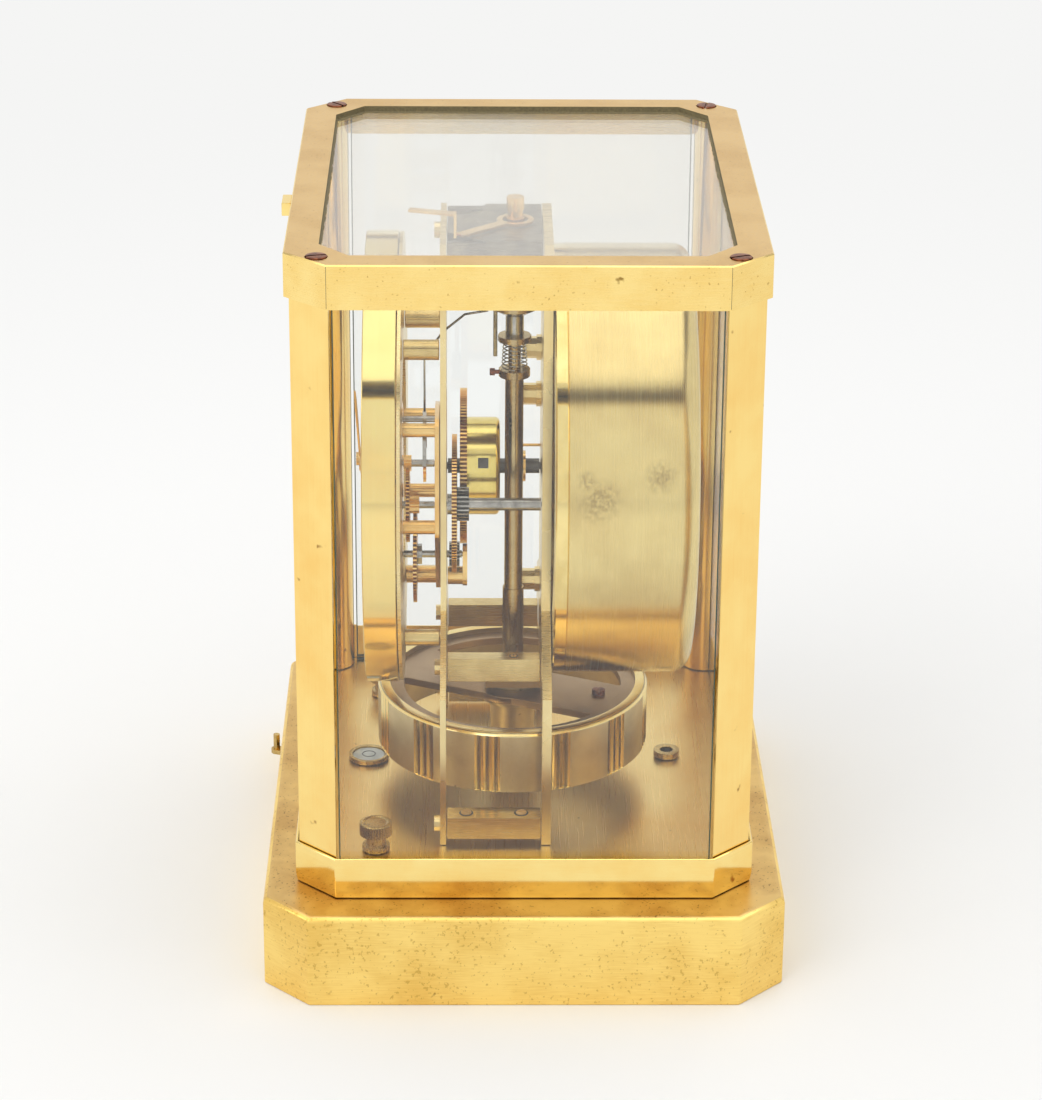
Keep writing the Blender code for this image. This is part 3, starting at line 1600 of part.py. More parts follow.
def least_coil_gap(route, wire_radius):
    """The least distance between points of the wire more than half a curl apart."""
    apart = curl_steps // 2 + 1
    least = min(
        (route[i] - route[j]).length
        for i in range(len(route)) for j in range(i + apart, len(route))
    )
    return least - 2 * wire_radius


def wound(name, radius, wire_radius, low, high, curls):
    route = coil(radius, low + wire_radius, high - wire_radius, curls, 2 * wire_radius)
    gap = least_coil_gap(route, wire_radius)
    print(f"{name}: least gap between curls {gap * 1000:.2f} mm")
    return wire(name, route, wire_radius, 1)


def bellows_spring():
    front = drum_front + drum_flange_thickness + seat_gap
    spring = wound("bellows_spring", bellows_spring_radius, bellows_spring_wire, front,
                   bellows_spring_rear, bellows_spring_curl_count)
    return finished(along_y(spring, (0, 0, drum_z)), "bellows_spring", steel())


# Pendulum, hung on the thin wire at the top

pendulum_bottom = 0.0131
pendulum_top = 0.0341
pendulum_bevel = 0.0010
pendulum_rim_width = 0.0040
pendulum_inner_radius = pendulum_radius - pendulum_rim_width
flute_group_count = 12
flute_count = 2
plain_step_count = 2
flute_depth = 0.0006
web_bottom = 0.0298
web_top = 0.0323
web_seat = 0.0015
web_hole_radius = 0.0077
web_window_inner = 0.0130
web_rim_width = 0.0045
web_window_outer = pendulum_inner_radius - web_rim_width
web_arm_width = 0.0240
web_arm_bearing = math.radians(65)
web_screw_x = 0.0092
web_screw_y = 0.0285
web_screw_radius = 0.0022
web_screw_height = 0.0014
hub_column_radius = 0.0074
hub_flange_radius = 0.0105
hub_flange_thickness = 0.0022
hub_column_bottom = 0.0138
hub_bar_x = 0.0200
hub_bar_y = 0.0183
hub_bar_bottom = 0.0344
hub_bar_top = 0.0381
sleeve_radius = 0.0035
sleeve_top = 0.0671
tube_radius = 0.0030
lower_collar_radius = 0.0051
lower_collar_thickness = 0.0025
side_screw_radius = 0.0012
side_screw_length = 0.0017
side_screw_neck_radius = 0.0007
side_screw_neck_length = 0.0012
core_radius = 0.0020
spring_radius = 0.0032
spring_wire_radius = 0.00019
spring_curl_count = 8
spring_length = 0.0095
upper_collar_radius = 0.0054
upper_collar_thickness = 0.0019
cone_sleeve_radius = 0.00295
cone_sleeve_length = 0.0068
cone_radius = 0.0072
cone_height = 0.0040
cone_rim = 0.0016
impulse_pin_radius = 0.0007
impulse_pin_drop = 0.0180
suspension_wire_drop = 0.0249
cone_top = bridge_top - suspension_wire_drop
cone_sleeve_top = cone_top - cone_height
upper_collar_top = cone_sleeve_top - cone_sleeve_length
upper_collar_bottom = upper_collar_top - upper_collar_thickness
core_top = upper_collar_bottom - seat_gap
lower_collar_top = upper_collar_bottom - spring_length
lower_collar_bottom = lower_collar_top - lower_collar_thickness
impulse_pin_bottom = cone_top - impulse_pin_drop


def fluted_loop(radius, height, depth):
    """A ring of points with groups of flutes and plain lands between them."""
    in_group = 2 * flute_count + plain_step_count
    count = flute_group_count * in_group
    loop = []
    for i in range(count):
        turn = 2 * math.pi * i / count
        place = i % in_group
        fluted = place < 2 * flute_count and place % 2 == 0
        reach = radius - depth if fluted else radius
        loop.append((reach * math.cos(turn), reach * math.sin(turn), height))
    return loop


def web_windows():
    """Two kidney-shaped windows that leave one straight arm across the middle."""
    windows = []
    for side in (-1, 1):
        window = []
        for radius, direction in ((web_window_inner, 1), (web_window_outer, -1)):
            half = math.pi / 2 - math.asin(min(1, web_arm_width / 2 / radius))
            for step in range(-4, 5):
                turn = web_arm_bearing + side * math.pi / 2 + direction * half * step / 4
                window.append((radius * math.cos(turn), radius * math.sin(turn)))
        windows.append(window)
    return windows


def pendulum_ring():
    """A heavy fluted rim and the flat web that carries it, as one casting."""
    rim_top = pendulum_top - pendulum_bevel
    rim = loft("rim", [
        fluted_loop(pendulum_radius, pendulum_bottom, flute_depth),
        fluted_loop(pendulum_radius, rim_top, flute_depth),
        fluted_loop(pendulum_radius - pendulum_bevel, pendulum_top, 0),
        fluted_loop(pendulum_inner_radius, pendulum_top, 0),
        fluted_loop(pendulum_inner_radius, pendulum_bottom, 0),
    ], ring=True)
    outer = circle(pendulum_inner_radius + web_seat, medium_steps)
    web = flat("web", [outer, circle(web_hole_radius, small_steps)] + web_windows(),
               web_bottom, web_top)
    screw = rod("screw", web_screw_radius, web_top - weld_overlap, web_top + web_screw_height,
                hole_steps)
    join(rim, web, shift(screw, web_screw_x, web_screw_y))
    rim.location = (0, pendulum_y, 0)
    return finished(rim, "pendulum_ring", pendulum_brass())


def pendulum_hub():
    flange_top = web_bottom - seat_gap
    profile = [
        (0, hub_bar_bottom + overrun), (hub_column_radius, hub_bar_bottom + overrun),
        (hub_column_radius, flange_top), (hub_flange_radius, flange_top),
        (hub_flange_radius, flange_top - hub_flange_thickness),
        (hub_column_radius, flange_top - hub_flange_thickness),
        (hub_column_radius, hub_column_bottom), (0, hub_column_bottom),
    ]
    column = turned("column", profile, small_steps)
    bar = box("bar", (-hub_bar_x / 2, -hub_bar_y / 2, hub_bar_bottom),
              (hub_bar_x / 2, hub_bar_y / 2, hub_bar_top))
    join(column, bar)
    column.location = (0, pendulum_y, 0)
    return finished(column, "pendulum_hub", pendulum_brass())


def suspension_tube():
    """The pendulum's rod: sleeve, tube, collar with its side screw, and the core in the spring."""
    profile = [
        (0, core_top), (core_radius, core_top), (core_radius, lower_collar_top),
        (lower_collar_radius, lower_collar_top), (lower_collar_radius, lower_collar_bottom),
        (tube_radius, lower_collar_bottom), (tube_radius, sleeve_top), (sleeve_radius, sleeve_top),
        (sleeve_radius, hub_bar_top + seat_gap), (0, hub_bar_top + seat_gap),
    ]
    body = turned("body", profile, small_steps)
    middle = (lower_collar_bottom + lower_collar_top) / 2
    neck_end = -lower_collar_radius - side_screw_neck_length
    head_end = neck_end - side_screw_length
    neck = rod("neck", side_screw_neck_radius, neck_end - weld_overlap,
               -lower_collar_radius + overrun, hole_steps)
    head = rod("head", side_screw_radius, head_end, neck_end, hole_steps)
    join(body, along_y(neck, (0, 0, middle)), along_y(head, (0, 0, middle)))
    body.location = (0, pendulum_y, 0)
    return finished(body, "suspension_tube", tube_bronze())


def suspension_spring():
    low = lower_collar_top + seat_gap
    spring = wound("suspension_spring", spring_radius, spring_wire_radius, low, core_top,
                   spring_curl_count)
    spring.location = (0, pendulum_y, 0)
    return finished(spring, "suspension_spring", steel())


def locking_cone():
    """Collar, sleeve and cone over the spring, with the impulse pin under the cone's rim."""
    profile = [
        (0, cone_top), (cone_radius, cone_top), (cone_radius, cone_top - cone_rim),
        (cone_sleeve_radius, cone_sleeve_top), (cone_sleeve_radius, upper_collar_top),
        (upper_collar_radius, upper_collar_top), (upper_collar_radius, upper_collar_bottom),
        (0, upper_collar_bottom),
    ]
    cone = turned("cone", profile, small_steps)
    pin = rod("pin", impulse_pin_radius, impulse_pin_bottom, cone_top - cone_rim + weld_overlap,
              hole_steps)
    join(cone, shift(pin, 0, impulse_pin_radius - cone_radius + running_gap))
    cone.location = (0, pendulum_y, 0)
    return finished(cone, "locking_cone", steel())


# Bridge between the plates at the top, the nut on it and the regulator lever

bridge_thickness = 0.0030
bridge_half_width = 0.0202
bridge_front_half_width = 0.0105
bridge_shoulder_y = -0.0125
bridge_scoop_x = -0.0135
bridge_scoop_bulge = 0.0030
bridge_rail_width = 0.0032
bridge_rail_drop = 0.0007
bridge_rail_height = 0.0080
bridge_hole_radius = 0.0022
nut_washer_radius = 0.0029
nut_washer_thickness = 0.0013
nut_body_radius = 0.0025
nut_cap_height = 0.0043
nut_cap_bottom = nut_cap_top - nut_cap_height
nut_cap_radius = 0.0028
nut_rib_count = 12
nut_stem_radius = 0.0016
nut_stem_drop = 0.0024
suspension_wire_radius = 0.00035
lever_hub_radius = 0.0060
lever_hub_bore = 0.0042
lever_hub_thickness = 0.0009
lever_strip = 0.0009
lever_arm_width = 0.0036
lever_turn_x = 0.0165
lever_turn_y = -0.0207
lever_rise = 0.0081
lever_riser_top = bridge_top + lever_rise
lever_pointer_x = 0.0120
lever_pointer_y = -0.0365
lever_pointer_width = 0.0026


def suspension_bridge():
    front, back = between_plates()
    corner = (-bridge_half_width, bridge_shoulder_y)
    scoop = arc_between((bridge_scoop_x, bridge_shoulder_y - overrun),
                        (-bridge_front_half_width, front), bridge_scoop_bulge, 6)
    outline = [
        (bridge_half_width, back), (-bridge_half_width, back), corner, *scoop,
        (bridge_front_half_width, front), (bridge_half_width, bridge_shoulder_y),
    ]
    plate = flat("plate", [outline, circle(bridge_hole_radius, small_steps, 0, pendulum_y)],
                 bridge_top - bridge_thickness, bridge_top)
    rail_top = bridge_top - bridge_rail_drop
    for side in (-1, 1):
        near = side * bridge_half_width
        far = side * (bridge_half_width - bridge_rail_width)
        join(plate, box("rail", (min(near, far), front, rail_top - bridge_rail_height),
                        (max(near, far), back, rail_top)))
    return finished(plate, "suspension_bridge", plate_brass())


def suspension_nut():
    """Washer, body and knurled cap on the bridge; its stem and thin wire hang down to the cone."""
    washer_bottom = bridge_top + seat_gap
    washer_top = washer_bottom + nut_washer_thickness
    stem_bottom = bridge_top - bridge_thickness - nut_stem_drop
    wire_end = cone_top + seat_gap
    profile = [
        (0, nut_cap_bottom + overrun), (nut_body_radius, nut_cap_bottom + overrun),
        (nut_body_radius, washer_top), (nut_washer_radius, washer_top),
        (nut_washer_radius, washer_bottom), (nut_stem_radius, washer_bottom),
        (nut_stem_radius, stem_bottom), (suspension_wire_radius, stem_bottom),
        (suspension_wire_radius, wire_end), (0, wire_end),
    ]
    nut = turned("nut", profile, small_steps)
    cap = flat("cap", [knurled(nut_rib_count, nut_cap_radius, knurl_depth)], nut_cap_bottom, nut_cap_top)
    join(nut, cap)
    shift(nut, 0, pendulum_y)
    return finished(nut, "suspension_nut", wheel_brass())


def strip_between(name, start, end, width, thickness):
    """A flat strip in plan from start to end, its thickness rising from z of each end."""
    a, b = Vector(start), Vector(end)
    along = Vector((b.x - a.x, b.y - a.y)).normalized()
    side = Vector((-along.y, along.x, 0)) * width / 2
    up = Vector((0, 0, thickness))
    loops = [
        [point - side, point + side, point + side + up, point - side + up] for point in (a, b)
    ]
    return loft(name, loops)


def regulator_lever():
    """A ring round the nut, an arm on the bridge, a riser and the pointer over the front plate."""
    bottom = bridge_top + seat_gap
    hub = tube("hub", lever_hub_radius, lever_hub_bore, bottom, bottom + lever_hub_thickness,
               small_steps)
    turn_y = lever_turn_y - pendulum_y
    tip_y = lever_pointer_y - pendulum_y
    half = lever_arm_width / 2
    start = Vector((lever_turn_x, turn_y)).normalized() * (lever_hub_bore + lever_hub_radius) / 2
    arm = strip_between("arm", (start.x, start.y, bottom), (lever_turn_x, turn_y, bottom),
                        lever_arm_width, lever_strip)
    riser = box("riser", (lever_turn_x - half, turn_y - half, bottom),
                (lever_turn_x + half, turn_y - half + lever_strip, lever_riser_top))
    pointer = strip_between("pointer", (lever_turn_x, turn_y - half + lever_strip / 2,
                                        lever_riser_top - lever_strip),
                            (lever_pointer_x, tip_y, lever_riser_top - lever_strip),
                            lever_pointer_width, lever_strip)
    join(hub, arm, riser, pointer)
    hub.location = (0, pendulum_y, 0)
    return finished(hub, "regulator_lever", wheel_brass())


# Every piece, each its own object

def build_case():
    base_shell()
    base_bottom_plate()
    floor_plate()
    levelling_screw("levelling_screw_left", -1)
    levelling_screw("levelling_screw_right", 1)
    rear_foot()
    spirit_level()
    lock_lever()
    lower_frame()
    top_frame()
    sides = (("left", -1), ("right", 1))
    ends = (("front", -1), ("rear", 1))
    for end, side_y in ends:
        for side, side_x in sides:
            corner_post(f"corner_post_{end}_{side}", side_x, side_y)
            frame_screw(f"frame_screw_{end}_{side}", side_x, side_y)
    for side, side_x in sides:
        side_glass(f"side_glass_{side}", side_x)
    rear_glass()
    top_glass()
    door_glass()
    door_rail()


def build_movement():
    pieces = [front_plate(), back_plate()]
    for side, side_x in (("left", -1), ("right", 1)):
        pieces.append(foot_block(f"foot_block_{side}", side_x))
        pieces.append(bridge_block(f"bridge_block_{side}", side_x))
        upper, lower = upper_pillar_place, lower_pillar_place
        pieces.append(dial_pillar(f"dial_pillar_upper_{side}", side_x * upper.x, upper.z,
                                  upper_pillar_radius))
        pieces.append(dial_pillar(f"dial_pillar_lower_{side}", side_x * lower.x, lower.z,
                                  lower_pillar_radius))
    pieces += [dial_backing(), dial_ring(), sub_plate_rear(), sub_plate_front(), third_wheel_cock()]
    pieces += [mainspring_barrel(), winding_arbor(), winding_chain(), intermediate_wheel()]
    pieces += [third_wheel(), fourth_wheel(), escape_wheel(), pallet_fork()]
    return pieces + [hour_hand(), minute_hand()]


def build_pendulum_and_bellows():
    pieces = [pendulum_ring(), pendulum_hub(), suspension_tube(), suspension_spring()]
    pieces += [locking_cone(), suspension_bridge(), suspension_nut(), regulator_lever()]
    return pieces + [bellows_drum(), bellows_spring(), bellows_capsule()]


def stand_on_floor(pieces):
    """Lifts pieces whose heights count from the floor plate's top into the case."""
    for piece in pieces:
        piece.location.z += floor_top


build_case()
stand_on_floor(build_movement() + build_pendulum_and_bellows())
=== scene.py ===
import json
import math
import random
from functools import partial
from types import SimpleNamespace as Sizes

import bmesh
import bpy
from mathutils import Matrix, Vector


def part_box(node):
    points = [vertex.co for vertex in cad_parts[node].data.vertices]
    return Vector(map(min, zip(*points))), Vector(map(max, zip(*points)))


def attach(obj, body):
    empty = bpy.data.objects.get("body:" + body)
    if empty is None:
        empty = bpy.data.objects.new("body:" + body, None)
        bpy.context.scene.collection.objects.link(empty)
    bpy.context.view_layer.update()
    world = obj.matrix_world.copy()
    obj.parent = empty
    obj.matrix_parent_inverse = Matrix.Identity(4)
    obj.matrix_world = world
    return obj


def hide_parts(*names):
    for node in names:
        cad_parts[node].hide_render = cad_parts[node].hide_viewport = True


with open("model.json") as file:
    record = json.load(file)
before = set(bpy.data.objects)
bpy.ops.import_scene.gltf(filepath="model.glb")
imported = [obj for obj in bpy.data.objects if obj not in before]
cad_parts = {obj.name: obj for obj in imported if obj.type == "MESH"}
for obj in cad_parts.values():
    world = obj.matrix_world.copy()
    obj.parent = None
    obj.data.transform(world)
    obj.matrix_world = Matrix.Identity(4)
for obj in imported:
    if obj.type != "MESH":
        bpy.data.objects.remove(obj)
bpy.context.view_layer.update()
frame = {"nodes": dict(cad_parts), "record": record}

scene = bpy.context.scene
scene.view_settings.view_transform = "Standard"
print("frame loaded")

mm = 0.001
materials = {}


# Small helpers. Lengths are in millimetres unless a comment says metres.

def hexLinear(text):
    parts = [int(text[i:i + 2], 16) / 255 for i in (1, 3, 5)]
    return (*(c / 12.92 if c <= 0.04045 else ((c + 0.055) / 1.055) ** 2.4 for c in parts), 1)


def perSize(size):
    # the scale of a pattern whose features have this size
    return 1 / (size * mm)


def setNode(node, settings):
    # a setting is an attribute's or an input's value, or a node or socket to link to that input
    for key, value in settings.items():
        if isinstance(value, bpy.types.Node):
            value = next(socket for socket in value.outputs if socket.enabled)
        if isinstance(value, bpy.types.NodeSocket):
            node.id_data.links.new(value, node.inputs[key])
        elif isinstance(key, str) and hasattr(node, key):
            setattr(node, key, value)
        else:
            node.inputs[key].default_value = value
    return node


def addNode(tree, kind, settings=()):
    # kind is the node's type without its family's name
    families = ("ShaderNode", "GeometryNode", "FunctionNode", "")
    family = next(family for family in families if hasattr(bpy.types, family + kind))
    return setNode(tree.nodes.new(family + kind), dict(settings))


# What the node trees use most: add is the tree's own addNode

def maths(add, operation, *inputs):
    return add("Math", {"operation": operation, **dict(enumerate(inputs))})


def remap(add, value, fromStart, fromEnd, toStart=0, toEnd=1):
    return add("MapRange", {"Value": value, "From Min": fromStart, "From Max": fromEnd, "To Min": toStart,
        "To Max": toEnd})


def noise(add, place, size, detail, roughness=0.5):
    return add("TexNoise", {"Vector": place, "Scale": perSize(size), "Detail": detail, "Roughness": roughness})


def newMaterial(name):
    material = materials[name] = bpy.data.materials.new(name)
    material.use_nodes = True
    add = partial(addNode, material.node_tree)
    place = add("TexCoord").outputs["Object"]
    return add, material.node_tree.nodes["Principled BSDF"], place


def bodyOf(node):
    bodies = frame["record"]["behaviour"]["bodies"]
    return next((body for body, nodes in bodies.items() if node in nodes), "case")


def slotOf(node):
    return next(row["material_slot"] for row in frame["record"]["subparts"] if row["node"] == node)


def settle(piece):
    # what the modifiers make becomes the piece's own mesh, and the modifiers go
    graph = bpy.context.evaluated_depsgraph_get()
    mesh = bpy.data.meshes.new_from_object(piece.evaluated_get(graph), preserve_all_data_layers=True,
        depsgraph=graph)
    piece.modifiers.clear()
    piece.data = mesh
    return piece


def newPiece(name, mesh, finishes=()):
    piece = bpy.data.objects.new(name, mesh)
    scene.collection.objects.link(piece)
    if finishes:
        mesh.materials.clear()
    for finish in finishes:
        mesh.materials.append(materials[finish])
    return piece


def placed(piece, node, stands=True, angle=32):
    # smooth where the surface turns gently, crisp at its corners; then it rides with its node's body
    mesh = piece.data
    mesh.polygons.foreach_set("use_smooth", [True] * len(mesh.polygons))
    mesh.set_sharp_from_angle(angle=math.radians(angle))
    piece.modifiers.new("faceWeights", "WEIGHTED_NORMAL").keep_sharp = True
    settle(piece)
    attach(piece, bodyOf(node))
    slotOf(node)
    if stands:
        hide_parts(node)
    return piece


def shift(mesh, x=0, y=0, z=0):
    mesh.transform(Matrix.Translation((x * mm, y * mm, z * mm)))
    return mesh


def turnRound(mesh, turn, axis):
    mesh.transform(Matrix.Rotation(turn, 4, axis))
    return mesh


def reworked(mesh, work):
    bm = bmesh.new()
    bm.from_mesh(mesh)
    work(bm)
    bm.to_mesh(mesh)
    bm.free()
    return mesh


def outward(bm):
    bmesh.ops.recalc_face_normals(bm, faces=bm.faces)


def meshFrom(name, points, faces):
    mesh = bpy.data.meshes.new(name)
    mesh.from_pydata([tuple(c * mm for c in point) for point in points], [], faces)
    mesh.update()
    return mesh


def eased(profile, reach, closed, steps=4):
    # rounds each corner of a profile with a short curve, no longer than a third of its sides
    out = []
    count = len(profile)
    for i, here in enumerate(profile):
        if not closed and i in (0, count - 1):
            out.append(here)
            continue
        point = Vector(here)
        inward, onward = Vector(profile[i - 1]) - point, Vector(profile[(i + 1) % count]) - point
        cut = min(reach, inward.length / 3, onward.length / 3)
        start, end = point + inward.normalized() * cut, point + onward.normalized() * cut
        for step in range(steps + 1):
            t = step / steps
            out.append(tuple((1 - t) ** 2 * start + 2 * t * (1 - t) * point + t * t * end))
    return out


def quarterRound(radius, end, roll, steps):
    # (radius, height) pairs that roll a turned solid's corner over, ending on its side
    turns = [math.pi / 2 * step / steps for step in range(steps + 1)]
    return [(radius - roll * (1 - math.sin(turn)), end - roll * (1 - math.cos(turn))) for turn in turns]


latheWeld, latheCrumb = 0.0005, 0.0002


def lathe(name, profile, centre=(0, 0), axis="Z", steps=128, ease=0.15):
    # a turned solid from (radius, height) pairs; centre is where its axis stands
    closed = min(r for r, h in profile) > 0
    profile = eased(profile, ease, closed) if ease else profile
    rows = len(profile)
    points, faces = [], []
    for i in range(steps):
        turn, n = 2 * math.pi * i / steps, (i + 1) % steps
        for r, h in profile:
            a, b = centre[0] + r * math.cos(turn), centre[1] + r * math.sin(turn)
            points.append({"Z": (a, b, h), "Y": (a, h, b)}[axis])
        for j in range(rows if closed else rows - 1):
            k = (j + 1) % rows
            faces.append((i * rows + j, n * rows + j, n * rows + k, i * rows + k))

    def weld(bm):
        bmesh.ops.remove_doubles(bm, verts=bm.verts, dist=latheWeld * mm)
        bmesh.ops.dissolve_degenerate(bm, edges=bm.edges, dist=latheCrumb * mm)
        outward(bm)

    return reworked(meshFrom(name, points, faces), weld)


def turned(name, node, profile, centre, finish, axis="Z", steps=96, ease=0.15, stands=True, angle=32):
    mesh = lathe(name, profile, centre, axis, steps, ease)
    return placed(newPiece(name, mesh, [finish]), node, stands, angle)


def block(name, low, high, bevel=0.2):
    # a rectangular bar with eased edges
    def work(bm):
        bmesh.ops.create_cube(bm, size=1)
        for vert in bm.verts:
            vert.co = Vector([(low[i] + high[i]) / 2 + vert.co[i] * (high[i] - low[i]) for i in range(3)]) * mm
        bmesh.ops.bevel(bm, geom=list(bm.edges), offset=bevel * mm, segments=2, profile=0.5, affect="EDGES",
            clamp_overlap=True)
        outward(bm)

    return reworked(bpy.data.meshes.new(name), work)


def slottedHead(name, profile, radius, top, slot, steps, ease, centre=(0, 0), finishes=()):
    # a screw's head with a slot along X; slot holds its width and depth
    head = newPiece(name, lathe(name, profile, centre, "Z", steps, ease), finishes)
    (x, y), (width, depth), reach = centre, slot, radius + 1
    cutter = newPiece("slotCutter", block("slotCutter", (x - reach, y - width / 2, top - depth),
        (x + reach, y + width / 2, top + 1), bevel=0.0001))
    cut = head.modifiers.new("slot", "BOOLEAN")
    cut.object = cutter
    cut.solver = "EXACT"
    settle(head)
    bpy.data.objects.remove(cutter)
    return head


# how the CAD's triangles are joined into faces, and the angle in degrees from which an edge is eased
cadFaces = Sizes(weld=0.001, flat=0.4, sharp=38)


def refined(node, finishes, bevel=0.15, angle=32, name=None, rule=None, trued=()):
    # a copy of a CAD node with its faces joined, its sharp edges eased and its round sides shaded smooth;
    # trued: toothed rims turned down to a disc, as x, z, y low, y high, from radius, to radius, new radius
    mesh = frame["nodes"][node].data.copy()
    for label in ("custom_normal", "sharp_face", "sharp_edge"):
        if label in mesh.attributes:
            mesh.attributes.remove(mesh.attributes[label])

    def join(bm):
        bmesh.ops.remove_doubles(bm, verts=bm.verts, dist=cadFaces.weld * mm)
        for x, z, low, high, inner, outer, radius in trued:
            for vert in bm.verts:
                off = Vector((vert.co.x - x * mm, vert.co.z - z * mm))
                if low - 0.02 < vert.co.y / mm < high + 0.02 and inner < off.length / mm < outer:
                    off *= radius * mm / off.length
                    vert.co.x, vert.co.z = x * mm + off.x, z * mm + off.y
        bmesh.ops.dissolve_limit(bm, angle_limit=math.radians(cadFaces.flat), verts=bm.verts, edges=bm.edges)

    piece = newPiece(name or node + "_fine", reworked(mesh, join), finishes)
    if bevel:
        edges = piece.modifiers.new("easedEdges", "BEVEL")
        edges.width = bevel * mm
        edges.segments = 2
        edges.limit_method = "ANGLE"
        edges.angle_limit = math.radians(cadFaces.sharp)
        edges.use_clamp_overlap = True
        settle(piece)
    if rule:
        for face in piece.data.polygons:
            face.material_index = rule(face)
    return placed(piece, node, angle=angle)


def refineAll(rows):
    # each row: node, finish, width of its eased edges and, where it isn't 32, the angle that stays crisp
    for node, finish, *rest in rows:
        refined(node, [finish], *rest)


# Geometry Nodes: what repeats round an axis, on a grid or along a wire

def newGroup(name, inputs):
    # a node tree whose named inputs are whole numbers or lengths in metres, with one more for the material
    tree = bpy.data.node_groups.new(name, "GeometryNodeTree")
    entry = partial(tree.interface.new_socket, in_out="INPUT")
    entry("Geometry", socket_type="NodeSocketGeometry")
    for label, value in inputs.items():
        kind = "NodeSocketInt" if isinstance(value, int) else "NodeSocketFloat"
        entry(label, socket_type=kind).default_value = value
    entry("Material", socket_type="NodeSocketMaterial")
    tree.interface.new_socket("Geometry", in_out="OUTPUT", socket_type="NodeSocketGeometry")
    return tree, partial(addNode, tree), tree.nodes.new("NodeGroupInput").outputs


def closeGroup(tree, given, geometry):
    solid = addNode(tree, "RealizeInstances", {"Geometry": geometry})
    dressed = addNode(tree, "SetMaterial", {"Geometry": solid, "Material": given["Material"]})
    addNode(tree, "NodeGroupOutput", {0: dressed})
    return tree


def runGroup(piece, tree, finish, values):
    values = {"Material": materials[finish], **values}
    modifier = piece.modifiers.new(tree.name, "NODES")
    modifier.node_group = tree
    for item in tree.interface.items_tree:
        if item.item_type == "SOCKET" and item.in_out == "INPUT" and item.name in values:
            modifier[item.identifier] = values[item.name]
    return settle(piece)


noSkip = 1000


def makeRepeatAround():
    # copies of the incoming shape, which points along +X, stood evenly round Z
    tree, add, given = newGroup("repeatAround", {"Count": 12, "Radius": 0.01, "Skip Every": noSkip})
    ring = add("MeshCircle", {"Vertices": given["Count"], "Radius": given["Radius"]})
    spot = add("SeparateXYZ", {0: add("InputPosition")}).outputs
    bearing = maths(add, "ARCTAN2", spot["Y"], spot["X"])
    turn = add("CombineXYZ", {"Z": bearing})
    rest = maths(add, "MODULO", add("InputIndex"), given["Skip Every"])
    wanted = maths(add, "GREATER_THAN", rest, 0.5)
    everyOne = maths(add, "GREATER_THAN", given["Skip Every"], noSkip - 0.5)
    chosen = maths(add, "MAXIMUM", wanted, everyOne)
    copies = add("InstanceOnPoints", {"Points": ring, "Selection": chosen, "Instance": given["Geometry"],
        "Rotation": turn})
    return closeGroup(tree, given, copies)


def makeRepeatOnGrid():
    # copies of the incoming shape at the corners of a rectangle, each turned by chance
    tree, add, given = newGroup("repeatOnGrid", {"Width": 0.1, "Depth": 0.1, "Seed": 1})
    grid = add("MeshGrid", {"Vertices X": 2, "Vertices Y": 2, "Size X": given["Width"],
        "Size Y": given["Depth"]})
    chance = add("RandomValue", {"data_type": "FLOAT", 2: -1.5, 3: 1.5, "Seed": given["Seed"]})
    turn = add("CombineXYZ", {"Z": chance})
    copies = add("InstanceOnPoints", {"Points": grid, "Instance": given["Geometry"], "Rotation": turn})
    return closeGroup(tree, given, copies)


def makeSpiralWire():
    # a round wire wound as an open spring about Z, from 0 up
    tree, add, given = newGroup("spiralWire", {"Curls": 8.0, "Lower Radius": 0.003, "Upper Radius": 0.003,
        "Height": 0.01, "Wire Radius": 0.0002})
    route = add("CurveSpiral", {"Resolution": 40, "Rotations": given["Curls"],
        "Start Radius": given["Lower Radius"], "End Radius": given["Upper Radius"],
        "Height": given["Height"]})
    section = add("CurvePrimitiveCircle", {"Resolution": 10, "Radius": given["Wire Radius"]})
    wire = add("CurveToMesh", {"Fill Caps": True, "Curve": route, "Profile Curve": section})
    return closeGroup(tree, given, wire)


